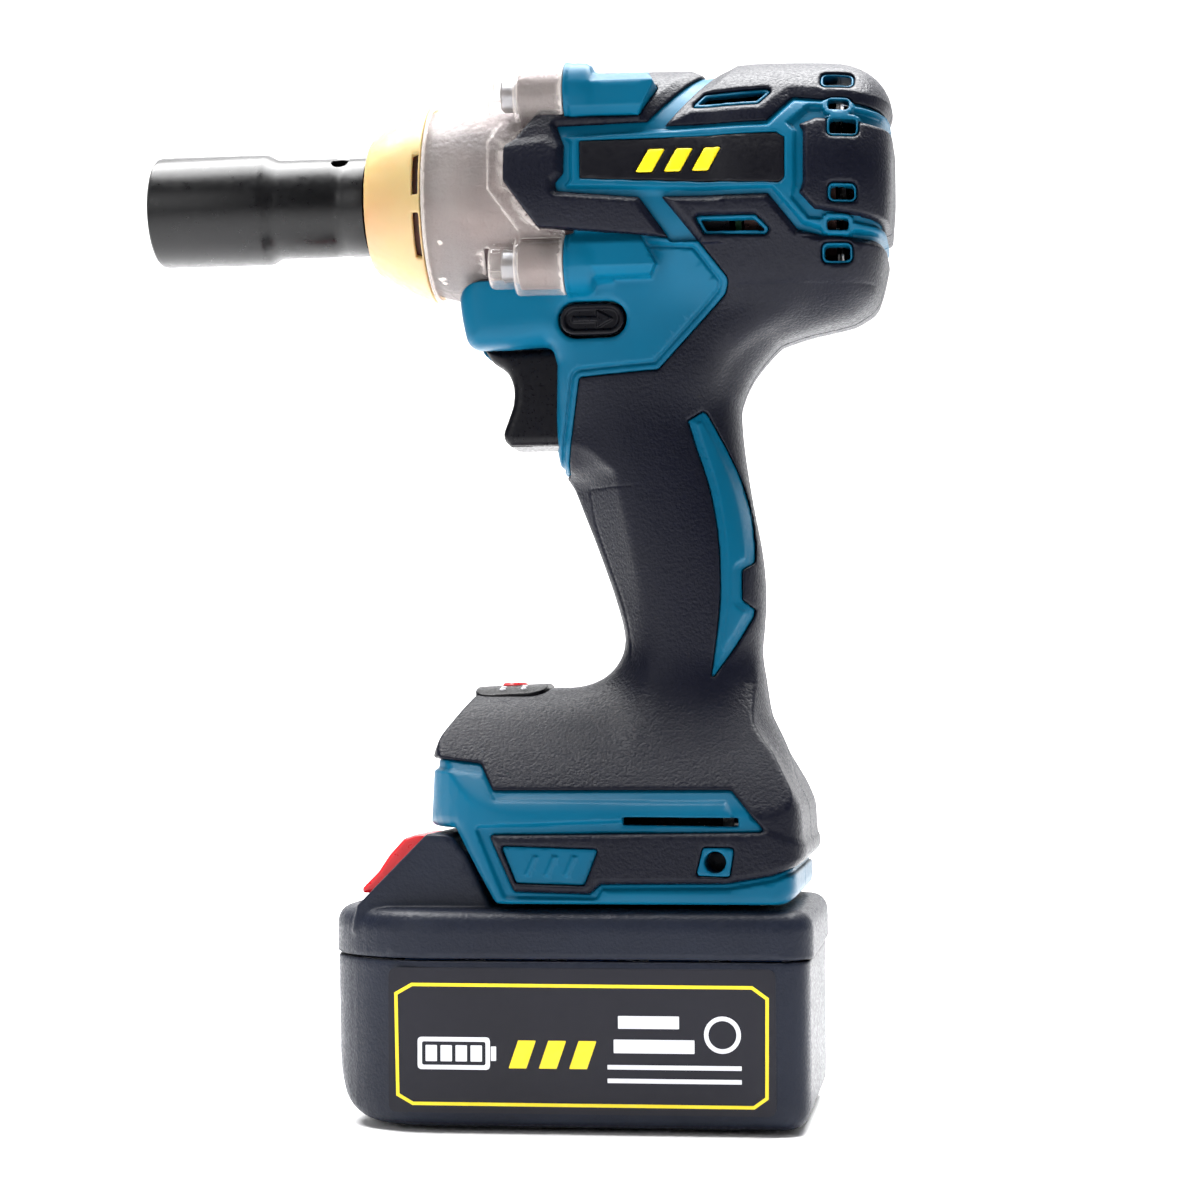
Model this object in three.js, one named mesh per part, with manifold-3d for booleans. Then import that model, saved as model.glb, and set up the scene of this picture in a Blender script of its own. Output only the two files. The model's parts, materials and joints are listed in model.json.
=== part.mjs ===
// Cordless impact wrench with a slide-on battery, in millimetres.
// The origin is the centre of the battery's flat base. +Z is up, -X points from the head to the
// socket, and the tool is symmetric about the plane Y = 0 except for its screws.
import * as THREE from "three";
import { mergeVertices } from "three/addons/utils/BufferGeometryUtils.js";
import Module from "manifold-3d";

const wasm = await Module();
wasm.setup();

// ---- Driving dimensions ----
const AXIS_Z = 215.3; // height of the socket, hammer and motor axis
const GAP = 0.3; // running or assembly gap between neighbouring pieces
const SPLIT = 0.15; // half of the gap between the two housing halves

const SOCKET = { front: -100.3, back: -47.5, bigRadius: 13.2, neckRadius: 11.8, hexFlats: 19.3 };
const SQUARE_DRIVE = 12.7; // the half-inch square
const NOSE_FRONT = -46.8;
const CASE_REAR = 22; // rear face of the aluminium hammer case
const CASE_INNER = 21.4;
const HEAD_FRONT = -9.2;
const HEAD_REAR = 77.5;
const BOSS = { y: 21, zUp: 21, zDown: -18.5, radius: 7, rear: 2.3 }; // hammer case screw bosses
const SKIN = 1.5; // thickness of the rubber overmould
const WALL = 3.9; // overmould, gap and plastic wall together

const GEAR = { module: 1, pressure: THREE.MathUtils.degToRad(25), front: 23.6, width: 8, backlash: 0.1 };
const SUN_TEETH = 9;
const PLANET_TEETH = 15;
const RING_TEETH = SUN_TEETH + 2 * PLANET_TEETH;
const PLANET_ORBIT = ((SUN_TEETH + PLANET_TEETH) * GEAR.module) / 2;
const PLANET_ANGLES = [90, 210, 330].map(THREE.MathUtils.degToRad);
const SPINDLE_RADIUS = 7.5;

const VENT_HEIGHTS = [20.3, 10.2, -4.8, -18.9]; // of the head's slots, above the axis
const LIGHT_Z = 184.2;
const GRIP_HALF = 18.5; // half width of the handle
const FOOT = { half: 37, bottom: 50, top: 100 };
const HOOK = { x: 37.1, z: 60.3 }; // screw holes for a belt hook, one on each side
const RAIL = { neck: 22, flange: 26, neckTop: 56, top: 62 }; // the battery's T-shaped rail
const BATTERY = { front: -53.7, rear: 58.5, half: 38, seam: 38.5, deck: 49.6, wall: 2.4 };
const CELL = { radius: 9, length: 65, pitch: 18.5, across: 5, middle: 8.8, firstZ: 13.2 };

// ---- Materials ----
const finish = (color, roughness, metalness = 0) =>
  new THREE.MeshStandardMaterial({ color, roughness, metalness });
const TEAL = finish(0x0d6880, 0.42);
const RUBBER = finish(0x2b2a30, 0.8);
const BLACK_PLASTIC = finish(0x1b1b1f, 0.5);
const SLATE = finish(0x24262f, 0.45);
const STEEL = finish(0x8f9296, 0.35, 1);
const BLACK_STEEL = finish(0x17171a, 0.38, 0.9);
const ALUMINIUM = finish(0xa79c9c, 0.5, 0.9);
const BRONZE = finish(0x9a7440, 0.4, 1);
const CLEAR = new THREE.MeshStandardMaterial({
  color: 0xf2f0ee,
  roughness: 0.08,
  transparent: true,
  opacity: 0.35,
});
const CREAM = finish(0xe8dca6, 0.55);
const RED = finish(0xc2212b, 0.4);
const COPPER = finish(0xb4673a, 0.4, 0.9);
const CIRCUIT = finish(0x1f5a35, 0.5);
const CELL_WRAP = finish(0x2f6fb0, 0.45);

// ---- Solids from three.js geometries ----
const group = new THREE.Group();

// Turns a closed geometry into a manifold solid whose faces point outwards.
function solid(geometry, matrix = new THREE.Matrix4()) {
  const plain = geometry.clone().applyMatrix4(matrix);
  plain.deleteAttribute("normal");
  plain.deleteAttribute("uv");
  const merged = mergeVertices(plain, 1e-4);
  const position = merged.attributes.position;
  const corners = [...merged.index.array];
  const faces = [];
  const [a, b, c] = [new THREE.Vector3(), new THREE.Vector3(), new THREE.Vector3()];
  let volume = 0;
  for (let i = 0; i < corners.length; i += 3) {
    const [p, q, r] = corners.slice(i, i + 3);
    if (p === q || q === r || r === p) continue;
    a.fromBufferAttribute(position, p);
    b.fromBufferAttribute(position, q);
    c.fromBufferAttribute(position, r);
    volume += a.dot(b.cross(c));
    faces.push([p, q, r]);
  }
  if (volume < 0) faces.forEach((face) => face.reverse());
  const triVerts = new Uint32Array(faces.flat());
  const vertProperties = position.array;
  return new wasm.Manifold(new wasm.Mesh({ numProp: 3, vertProperties, triVerts }));
}

const join = (...parts) => parts.reduce((whole, part) => whole.add(part));
const cut = (whole, ...tools) => tools.reduce((rest, tool) => rest.subtract(tool), whole);

function box([x0, x1], [y0, y1], [z0, z1]) {
  const geometry = new THREE.BoxGeometry(x1 - x0, y1 - y0, z1 - z0);
  geometry.translate((x0 + x1) / 2, (y0 + y1) / 2, (z0 + z1) / 2);
  return solid(geometry);
}

// A cylinder or cone frustum between two points.
function rod(start, end, radius, sides = 20, endRadius = radius) {
  const from = new THREE.Vector3(...start);
  const to = new THREE.Vector3(...end);
  const along = to.clone().sub(from);
  const geometry = new THREE.CylinderGeometry(endRadius, radius, along.length(), sides);
  const turn = new THREE.Quaternion().setFromUnitVectors(
    new THREE.Vector3(0, 1, 0),
    along.clone().normalize(),
  );
  const middle = from.add(to).multiplyScalar(0.5);
  return solid(geometry, new THREE.Matrix4().compose(middle, turn, new THREE.Vector3(1, 1, 1)));
}

// A rod parallel to the head's axis, at y and at height z above that axis.
const axle = (x0, x1, radius, sides, y = 0, z = 0) =>
  rod([x0, y, AXIS_Z + z], [x1, y, AXIS_Z + z], radius, sides);

function ball([x, y, z], radius) {
  return solid(new THREE.SphereGeometry(radius, 8, 6).translate(x, y, z));
}

const toShape = (points) => new THREE.Shape(points.map(([u, v]) => new THREE.Vector2(u, v)));

// An outline in one plane, extruded along the remaining axis.
function extruded(shape, depth, axes, offset) {
  const geometry = new THREE.ExtrudeGeometry(shape, { depth, bevelEnabled: false, curveSegments: 2 });
  const [u, v, w] = axes.map((axis) => new THREE.Vector3(...axis));
  const placed = new THREE.Matrix4().makeBasis(u, v, w);
  const shift = w.clone().multiplyScalar(offset);
  return solid(geometry, placed.premultiply(new THREE.Matrix4().makeTranslation(shift)));
}
const X = [1, 0, 0];
const Y = [0, 1, 0];
const Z = [0, 0, 1];
const sideOutline = (points, y0, y1) => extruded(toShape(points), y1 - y0, [X, Z, [0, -1, 0]], -y1);
const frontOutline = (points, x0, x1) => extruded(toShape(points), x1 - x0, [Y, Z, X], x0);
const planOutline = (shape, z0, z1) => extruded(shape, z1 - z0, [X, Y, Z], z0);

// A rectangle in plan with its own corner radii at the front and at the rear.
function roundedPlan(front, rear, half, frontRadius, rearRadius = frontRadius) {
  const shape = new THREE.Shape();
  const [a, b] = [Math.max(frontRadius, 0.2), Math.max(rearRadius, 0.2)];
  shape.absarc(rear - b, half - b, b, 0, Math.PI / 2);
  shape.absarc(front + a, half - a, a, Math.PI / 2, Math.PI);
  shape.absarc(front + a, a - half, a, Math.PI, 1.5 * Math.PI);
  shape.absarc(rear - b, b - half, b, 1.5 * Math.PI, 2 * Math.PI);
  return shape;
}

// A profile of [x, radius] pairs turned about the head's axis.
function turned(profile, sides = 20) {
  const closed = [...profile, profile[0]];
  const points = closed.map(([x, radius]) => new THREE.Vector2(radius, x));
  const matrix = new THREE.Matrix4()
    .makeTranslation(0, 0, AXIS_Z)
    .multiply(new THREE.Matrix4().makeRotationZ(-Math.PI / 2));
  return solid(new THREE.LatheGeometry(points, sides), matrix);
}

// A tube about the head's axis.
const ring = (x0, x1, inner, outer, sides = 20) =>
  turned([[x0, inner], [x1, inner], [x1, outer], [x0, outer]], sides);

// Moves every edge of a counter-clockwise outline inwards by one distance.
function inset(points, distance) {
  return points.map(([x, z], i) => {
    const [px, pz] = points.at(i - 1);
    const [nx, nz] = points[(i + 1) % points.length];
    const before = new THREE.Vector2(x - px, z - pz).normalize();
    const after = new THREE.Vector2(nx - x, nz - z).normalize();
    const bisector = new THREE.Vector2(-before.y - after.y, before.x + after.x).normalize();
    const miter = distance / (bisector.x * -before.y + bisector.y * before.x);
    return [x + bisector.x * miter, z + bisector.y * miter];
  });
}

// A stack of oval sections, each {z, front, rear, half}, joined into one solid.
function lofted(sections, sides = 10, power = 2.5) {
  const geometry = new THREE.CylinderGeometry(1, 1, 1, sides, sections.length - 1);
  const position = geometry.attributes.position;
  const oval = (value) => Math.sign(value) * Math.abs(value) ** (2 / power);
  for (let i = 0; i < position.count; i += 1) {
    const level = Math.round((position.getY(i) + 0.5) * (sections.length - 1));
    const { z, front, rear, half } = sections[level];
    const x = (front + rear) / 2 + (oval(position.getX(i)) * (rear - front)) / 2;
    position.setXYZ(i, x, oval(position.getZ(i)) * half, z);
  }
  return solid(geometry);
}

function node(name, made, material) {
  const { vertProperties, triVerts } = made.getMesh();
  const geometry = new THREE.BufferGeometry();
  geometry.setAttribute("position", new THREE.BufferAttribute(vertProperties, 3));
  geometry.setIndex(new THREE.BufferAttribute(triVerts, 1));
  geometry.computeVertexNormals();
  const mesh = new THREE.Mesh(geometry, material);
  mesh.name = name;
  group.add(mesh);
}

// ---- Housing: the outside shape, moved inwards by a distance ----
function headShape(depth) {
  const profile = inset(
    [[HEAD_FRONT, -20], [HEAD_REAR, -20], [77, 12], [73.6, 23.5], [67, 29.4], [55, 30.4], [30, 29],
      [HEAD_FRONT, 29.7]],
    depth,
  ).map(([x, radius]) => [x, Math.max(radius, 0)]);
  return turned(profile);
}

// The block between the head and the trigger, narrower than the head.
function throatShape(depth) {
  const side = [[-24.3, 205], [-24.3, 190], [-21.5, 179.6], [-2.6, 179.6], [-2.6, 168], [44, 168],
    [50, 177], [60, 183], [66, 190], [66, 205]];
  const front = [[-15, 165], [15, 165], [19, 179], [19, 186], [25, 205], [25, 212], [-25, 212],
    [-25, 205], [-19, 186], [-19, 179]];
  return sideOutline(inset(side, depth), -30, 30).intersect(
    frontOutline(inset(front, depth), -30, 70),
  );
}

function handleShape(depth) {
  const sections = [
    [92, 6, 46, 0], [105, 12.3, 44.7, -1.5], [122, 10.4, 46.1, -1], [147, 0.6, 42.5, 0],
    [165, -2.6, 40.8, 0], [186, -2.6, 50, 0],
  ];
  return lofted(
    sections.map(([z, front, rear, wider]) => ({
      z,
      front: front + depth,
      rear: rear - depth,
      half: GRIP_HALF + wider - depth,
    })),
  );
}

function footShape(depth) {
  const side = [[-12.6, FOOT.bottom], [40, FOOT.bottom], [54, 56], [57, 62], [56.6, 72], [50.3, 86.2],
    [45.5, FOOT.top], [-14, FOOT.top], [-22.9, 98], [-30.4, 85], [-32, 66.5], [-23, 66.5]];
  const front = [[-FOOT.half, 40], [FOOT.half, 40], [FOOT.half, 78], [33.5, 87], [19, 97.5],
    [17, 110], [-17, 110], [-19, 97.5], [-33.5, 87], [-FOOT.half, 78]];
  const [planFront, planRear] = [-32 + depth, 57.5 - depth];
  const plan = roundedPlan(planFront, planRear, FOOT.half + 0.1 - depth, 26 - depth, 9 - depth);
  return sideOutline(inset(side, depth), -40, 40)
    .intersect(frontOutline(inset(front, depth), -60, 70))
    .intersect(planOutline(plan, 30, 120));
}

const bodyShape = (depth) =>
  join(headShape(depth), throatShape(depth), handleShape(depth), footShape(depth));

const caseScrewPlaces = [BOSS.zUp, BOSS.zDown].flatMap((z) => [-BOSS.y, BOSS.y].map((y) => [y, z]));

// Vent slots near the rear of the head, at these heights above the axis.
function vents() {
  const tools = VENT_HEIGHTS.flatMap((height) =>
    [-1, 1].map((side) => {
      const angle = Math.asin(height / 29);
      const slot = new THREE.BoxGeometry(6, 16, 2.6);
      slot.translate(65.4, 29, 0).rotateX(angle);
      if (side < 0) slot.rotateY(Math.PI).translate(2 * 65.4, 0, 0).rotateX(Math.PI);
      return solid(slot.translate(0, 0, AXIS_Z));
    }),
  );
  return join(...tools);
}

// Everything that is open or hollow in the housing.
function housingCuts() {
  const trigger = box([-30, 12.5], [-9.6, 9.6], [155.8, 179.6]);
  const lever = sideOutline(leverOutline(GAP), -40, 40);
  const rail = join(
    box([-40, 47], [-RAIL.neck - 0.4, RAIL.neck + 0.4], [40, RAIL.neckTop]),
    box([-40, 47], [-RAIL.flange - 0.4, RAIL.flange + 0.4], [RAIL.neckTop - 0.4, RAIL.top + 0.5]),
  );
  const blockRoom = sideOutline(
    [[-60, 40], [-12.2, 40], [-12.2, 50], [-22.7, 66.2], [-60, 66.2]],
    -31,
    31,
  );
  const terminals = box([8, 38], [-16, 16], [60, 70]);
  const panel = planOutline(roundedPlan(-22.3, -4.7, 10.3, 5.3), 96.4, 110);
  const buttonWell = rod([-13.5, 0, 90], [-13.5, 0, 100], 3.6, 16);
  const light = rod([-30, 0, LIGHT_Z], [-16, 0, LIGHT_Z], 3.2, 12);
  const bosses = caseScrewPlaces.map(([y, z]) => axle(-20, BOSS.rear + GAP, BOSS.radius + 0.5, 12, y, z));
  const plates = [-1, 1].map((side) => labelPlateShape(side, GAP));
  const hooks = [-1, 1].map((side) => rod([HOOK.x, 30 * side, HOOK.z], [HOOK.x, 50 * side, HOOK.z], 2.4, 8));
  const round = [...bosses, ...plates, ...hooks];
  return join(trigger, lever, rail, blockRoom, terminals, panel, buttonWell, light, ...round);
}

// The head's bore, wider in front where the clear cover sits.
const headBore = () =>
  turned([
    [-60, 0], [73.8, 0], [73.8, 17], [66, 25.6], [HEAD_FRONT, 25.6], [HEAD_FRONT, 26.9], [-60, 26.9],
  ]);

// The hollow inside: the head's bore, the handle and the foot.
function housingHollow() {
  return join(
    headBore(),
    throatShape(WALL).intersect(box([-22, 60], [-30, 30], [160, 230])),
    handleShape(WALL),
    footShape(WALL).intersect(box([-60, 60], [-40, 40], [66.4, 120])),
  );
}

// The parts of the outside that stay hard teal plastic, without overmould, grown by a distance.
function tealRegion(grow) {
  const throat = [[-30, 145], [-0.6, 145], [0.6, 150.4], [4.6, 171.1], [23.2, 172.4], [39, 189.4],
    [39.8, 192.3], [32.9, 201.1], [16, 203.5], [-30, 203.5]];
  const band = [[-40, 66], [48.1, 66.9], [40.5, 76.2], [-12.9, 76.1], [-16.7, 81.1], [-40, 82]];
  const edge = [[-40, 40], [60, 40], [60, 53], [48, 53.4], [-10, 51.6], [-17, 67], [-40, 67]];
  return join(...[throat, band, edge].map((outline) => sideOutline(inset(outline, -grow), -40, 40)));
}

function screwBosses() {
  return caseScrewPlaces.map(([y, z]) => {
    const start = BOSS.rear + GAP;
    const straight = axle(start, 15, BOSS.radius - 0.4, 10, y, z);
    return join(straight, rod([14.9, y, AXIS_Z + z], [25, y, AXIS_Z + z * 0.93], 6.6, 10, 2.5));
  });
}

// Holes through both halves for the screws that hold them together, from the +Y side.
const housingScrewPlaces = [[45.5, 186.5], [36, 170], [28, 112], [-8, 91], [44, 82], [-11, 184.5]];

function housingPosts() {
  return housingScrewPlaces.map(([x, z]) => rod([x, -40, z], [x, 40, z], 4.8, 6));
}

function makeHousing() {
  const cuts = housingCuts().add(vents());
  const shell = bodyShape(SKIN + GAP).add(bodyShape(0).intersect(tealRegion(0)));
  const posts = join(...housingPosts()).intersect(bodyShape(SKIN + GAP));
  const screwHoles = housingScrewPlaces.map(([x, z]) =>
    join(rod([x, -13, z], [x, 60, z], 2.1, 6), rod([x, 11, z], [x, 60, z], 3.9, 6)),
  );
  const caseHoles = caseScrewPlaces.map(([y, z]) => axle(0, 16.3, 2.1, 8, y, z));
  const bearingSeat = ring(70.6, 75, 6.8, 9.2, 16);
  let whole = join(cut(shell, housingHollow()), ...screwBosses().map(outsideBore), bearingSeat);
  whole = cut(whole.add(cut(posts, headBore())), cuts, ...screwHoles, ...caseHoles);
  const far = 200;
  const left = box([-far, far], [-far, -SPLIT], [-far, 2 * far]);
  const right = box([-far, far], [SPLIT, far], [-far, 2 * far]);
  node("housing_left", largest(whole.intersect(left)), TEAL);
  node("housing_right", largest(whole.intersect(right)), TEAL);

  const solidSkin = cut(bodyShape(0), bodyShape(SKIN), headBore(), tealRegion(GAP));
  const skin = cut(solidSkin, cuts, ...screwHoles, skinBosses());
  node("overmould_left", largest(skin.intersect(left)), RUBBER);
  node("overmould_right", largest(skin.intersect(right)), RUBBER);
}

// The largest of the separate bodies that a cut leaves.
function largest(made) {
  return made.decompose().reduce((best, body) => (body.volume() > best.volume() ? body : best));
}

// A boss without the part of it that would reach into the head's bore.
const outsideBore = (boss) => cut(boss, turned([[-60, 0], [73.8, 0], [73.8, 26.2], [-60, 26.2]]));

// The room that the overmould leaves round the bosses.
const skinBosses = () =>
  join(
    ...caseScrewPlaces.flatMap(([y, z]) => [
      axle(-20, 16.5, BOSS.radius + 0.2, 10, y, z),
      rod([14, y, AXIS_Z + z], [25.6, y, AXIS_Z + z * 0.93], 7.6, 10, 3.8),
    ]),
  );

// ---- Label plates on both sides of the head ----
function labelPlateShape(side, grow) {
  const plate = [[6.8, 213.8], [51.6, 212], [53.6, 214.2], [53.6, 222.6], [51.5, 224.6], [6.8, 224.6]];
  const outline = inset(plate, -grow);
  const slab = sideOutline(outline, side < 0 ? -40 : 20, side < 0 ? -20 : 40);
  const depth = 1.2 + grow;
  return slab.intersect(turned([[0, 29.6 - depth], [60, 29.6 - depth], [60, 40], [0, 40]]));
}

function makeLabelPlates() {
  [["left", -1], ["right", 1]].forEach(([word, side]) => {
    const outside = turned([[0, 0], [60, 0], [60, 29.4], [0, 29.4]]);
    node("label_plate_" + word, labelPlateShape(side, 0).intersect(outside), SLATE);
  });
}

// ---- Screws: along Y in the housing, along X in the hammer case ----
function makeScrews() {
  housingScrewPlaces.forEach(([x, z], i) => {
    const shank = rod([x, -12, z], [x, 12.4, z], 1.5, 6);
    const head = rod([x, 11.4, z], [x, 14, z], 3, 8);
    const recess = rod([x, 12.8, z], [x, 16, z], 1.4, 6);
    node("housing_screw_" + (i + 1), cut(join(shank, head), recess), BLACK_STEEL);
  });
  caseScrewPlaces.forEach(([y, z], i) => {
    const shank = axle(-10, 16, 1.8, 8, y, z);
    const head = axle(-12.6, -9.4, 3.9, 12, y, z);
    const recess = axle(-14, -11, 1.7, 6, y, z);
    node("case_screw_" + (i + 1), cut(join(shank, head), recess), STEEL);
  });
}

// ---- Nose: hammer case, clear cover, ring and bushing ----
const COVER_PROFILE = [[-30.6, 24], [-22, 26.2], [-9.6, 26.6]];
const RING_PROFILE = [[-44.8, 17.2], [-37.9, 20.9], [-31, 23.8]];

function makeHammerCase() {
  const body = turned([
    [-44.4, 11.9], [-44.4, 14], [-37.9, 18.6], [-30.6, 22.1], [-22, 24.3], [-15, 24.6],
    [CASE_REAR, 24.6], [CASE_REAR, CASE_INNER], [-25.6, CASE_INNER], [-25.6, 11.9],
  ]);
  const ears = caseScrewPlaces.map(([y, z]) => {
    const length = Math.hypot(y, z);
    const web = new THREE.BoxGeometry(10.4, length, 5).translate(-3.4, length / 2, 0);
    const turn = new THREE.Matrix4().makeRotationX(Math.atan2(z, y));
    const placed = turn.premultiply(new THREE.Matrix4().makeTranslation(0, 0, AXIS_Z));
    return join(axle(-8.6, BOSS.rear - 0.5, 5.5, 12, y, z), solid(web, placed));
  });
  const bore = turned([
    [-30, 0], [CASE_REAR + 4, 0], [CASE_REAR + 4, CASE_INNER], [-25.6, CASE_INNER], [-25.6, 11.9],
    [-30, 11.9],
  ]);
  const holes = caseScrewPlaces.map(([y, z]) =>
    join(axle(-12, 10, 2.2, 6, y, z), axle(-20, -8.8, 4.4, 10, y, z)),
  );
  node("hammer_case", cut(join(body, ...ears), bore, ...holes), ALUMINIUM);
}

function makeCover() {
  const shell = turned([...COVER_PROFILE, ...COVER_PROFILE.map(([x, r]) => [x, r - 1.5]).reverse()]);
  const inside = turned([[-31, 0], ...COVER_PROFILE.map(([x, r]) => [x, r - 1.5]), [4, 25.1], [4, 0]]);
  const sleeves = caseScrewPlaces.map(([y, z]) =>
    join(axle(-9.4, BOSS.rear, BOSS.radius, 12, y, z), axle(-15.2, -9.3, 5.3, 10, y, z)),
  );
  const pockets = caseScrewPlaces.map(([y, z]) =>
    join(axle(-9, BOSS.rear + 1, 5.9, 12, y, z), axle(-13.8, -8.9, 4.3, 10, y, z)),
  );
  node("hammer_case_cover", largest(cut(join(shell, ...sleeves), inside, ...pockets)), CLEAR);
}

function makeNose() {
  const front = [NOSE_FRONT, 12.3];
  const outer = [[NOSE_FRONT, 15.4], ...RING_PROFILE];
  const inner = [[-31, 22.3], [-38, 19], [-44.7, 14.2], [-44.7, 12.3]];
  node("nose_ring", turned([front, ...outer, ...inner]), CREAM);
  node("anvil_bushing", ring(-44, -26, 9.3, 11.6), BRONZE);
}

// ---- Drive: socket, anvil, hammer, spring and spindle ----
function makeSocket() {
  const { front, back, bigRadius, neckRadius } = SOCKET;
  const body = turned([
    [front, 0], [front, bigRadius - 1], [front + 1.2, bigRadius], [-74, bigRadius],
    [-71.4, neckRadius - 0.7], [-70, neckRadius], [back, neckRadius], [back, 0],
  ], 24);
  const corner = SOCKET.hexFlats / Math.sqrt(3);
  const hex = rod([front - 5, 0, AXIS_Z], [-76, 0, AXIS_Z], corner, 6);
  const relief = axle(-77, -66.2, 8.6, 16);
  const half = SQUARE_DRIVE / 2 + 0.25;
  const square = box([-70, back + 1], [-half, half], [AXIS_Z - half, AXIS_Z + half]);
  const pinHole = rod([-54.5, 0, AXIS_Z - 20], [-54.5, 0, AXIS_Z + 20], 1.7, 10);
  const tilt = pinHole.translate([0, 0, -AXIS_Z]).rotate([35, 0, 0]).translate([0, 0, AXIS_Z]);
  node("socket", cut(body, hex, relief, square, tilt), BLACK_STEEL);
}

function makeAnvil() {
  const half = SQUARE_DRIVE / 2;
  const square = box([-66, -46], [-half, half], [AXIS_Z - half, AXIS_Z + half]);
  const shaped = square.intersect(turned([[-66, 0], [-66, 7.2], [-64.6, 8.5], [-46, 8.5], [-46, 0]], 20));
  const groove = ring(-62.4, -60, 5.2, 12, 16);
  const shaft = axle(-47, -24.8, 9, 24);
  const hub = axle(-25, -17, 10, 24);
  const bar = box([-25, -17], [-20.3, 20.3], [AXIS_Z - 4.5, AXIS_Z + 4.5]);
  const lugs = bar.intersect(axle(-25, -17, 20.3, 32));
  const pilot = axle(-25, -10, 5.3, 16);
  node("anvil", cut(join(cut(shaped, groove), shaft, hub, lugs), pilot), STEEL);
  node("socket_retaining_ring", ring(-62.1, -60.3, 5.5, 6.25, 16), BLACK_STEEL);
}

function makeHammer() {
  const body = turned([
    [-16.6, 10.9], [-7.5, 10.9], [-7.5, SPINDLE_RADIUS + GAP], [2, SPINDLE_RADIUS + GAP], [2, 11],
    [-6, 11], [-6, 17], [2, 17], [2, 20.9], [-16.6, 20.9],
  ]);
  const dogs = ring(-24.4, -16.5, 11, 20.3, 28).intersect(box([-25, -16], [-7, 7], [0, 2 * AXIS_Z]));
  node("hammer", join(body, dogs), BLACK_STEEL);
}

class Helix extends THREE.Curve {
  getPoint(t) {
    const angle = t * 4.5 * 2 * Math.PI;
    return new THREE.Vector3(-4.2 + t * 22.6, 14 * Math.cos(angle), AXIS_Z + 14 * Math.sin(angle));
  }
}

function makeSpring() {
  const section = new THREE.Shape().absarc(0, 0, 1.4, 0, 2 * Math.PI);
  const options = { extrudePath: new Helix(), steps: 40, curveSegments: 3 };
  node("hammer_spring", solid(new THREE.ExtrudeGeometry(section, options)), STEEL);
}

const onOrbit = (angle, radius) => [radius * Math.cos(angle), radius * Math.sin(angle)];

function makeSpindle() {
  const shaft = join(axle(-24, -15.6, 5, 16), axle(-15.8, 21, SPINDLE_RADIUS, 20));
  const discs = join(axle(20.2, 23.2, 18.4, 24), axle(32, 34.4, 18.4, 24));
  const webs = PLANET_ANGLES.map((angle) => {
    const [y, z] = onOrbit(angle + Math.PI / 3, 14.4);
    return axle(23, 32.2, 3, 6, y, z);
  });
  const pinHoles = PLANET_ANGLES.map((angle) => axle(20.9, 33.6, 2.9, 8, ...onOrbit(angle, PLANET_ORBIT)));
  const sunHole = axle(31, 36, 6, 16);
  const ballSeats = [-1, 1].map((side) =>
    rod([-11, 0, AXIS_Z + side * 4.2], [-11, 0, AXIS_Z + side * 12], 3.2, 8),
  );
  node("spindle", cut(join(shaft, discs, ...webs), ...pinHoles, sunHole, ...ballSeats), STEEL);
  [-1, 1].forEach((side, i) =>
    node("cam_ball_" + (i + 1), ball([-11, 0, AXIS_Z + side * SPINDLE_RADIUS], 2.9), STEEL),
  );
  PLANET_ANGLES.forEach((angle, i) => {
    const [y, z] = onOrbit(angle, PLANET_ORBIT);
    node("planet_pin_" + (i + 1), axle(21.2, 33.3, 2.4, 8, y, z), STEEL);
  });
}

// ---- Planetary gears ----
// Outline of an involute gear. A negative backlash widens the teeth, for an internal gear's cut.
function gearOutline(teeth, rootRadius, tipRadius, backlash, turn) {
  const pitch = (teeth * GEAR.module) / 2;
  const base = pitch * Math.cos(GEAR.pressure);
  const involute = (angle) => Math.tan(angle) - angle;
  const halfTooth = (Math.PI * GEAR.module - 2 * backlash) / (4 * pitch) + involute(GEAR.pressure);
  const halfAt = (radius) => halfTooth - involute(Math.acos(Math.min(base / radius, 1)));
  const points = [];
  for (let tooth = 0; tooth < teeth; tooth += 1) {
    const centre = turn + (tooth * 2 * Math.PI) / teeth;
    points.push(onOrbit(centre - halfAt(rootRadius), rootRadius));
    points.push(onOrbit(centre - halfAt(tipRadius), tipRadius));
    points.push(onOrbit(centre + halfAt(tipRadius), tipRadius));
    points.push(onOrbit(centre + halfAt(rootRadius), rootRadius));
  }
  return points;
}

function gear(teeth, turn, [x0, x1]) {
  const pitch = (teeth * GEAR.module) / 2;
  const [root, tip] = [pitch - 1.05 * GEAR.module, pitch + 0.8 * GEAR.module];
  const outline = gearOutline(teeth, root, tip, GEAR.backlash, turn);
  return frontOutline(outline, x0, x1);
}

function makeGears() {
  const [x0, x1] = [GEAR.front, GEAR.front + GEAR.width];
  PLANET_ANGLES.forEach((angle, i) => {
    const [y, z] = onOrbit(angle, PLANET_ORBIT);
    const planet = gear(PLANET_TEETH, angle, [x0, x1]).translate([0, y, AXIS_Z + z]);
    node("planet_gear_" + (i + 1), cut(planet, axle(x0 - 1, x1 + 1, 2.9, 8, y, z)), STEEL);
  });
  const pitch = (RING_TEETH * GEAR.module) / 2;
  const [tip, root] = [pitch - 0.8 * GEAR.module, pitch + 1.05 * GEAR.module];
  const hole = gearOutline(RING_TEETH, tip, root, -GEAR.backlash, PLANET_ANGLES[0]);
  const cutter = frontOutline(hole, x0 - 1, x1 + 1).translate([0, 0, AXIS_Z]);
  node("ring_gear", cut(axle(x0, x1, 22, 24), cutter), STEEL);
  const gearCase = turned([
    [CASE_REAR + 0.4, 22.3], [35, 22.3], [35, 9.6], [36.2, 9.6], [36.2, 8.3], [40, 8.3], [40, 24.8],
    [CASE_REAR + 0.4, 24.8],
  ]);
  node("gear_case", gearCase, BLACK_PLASTIC);
}

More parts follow.
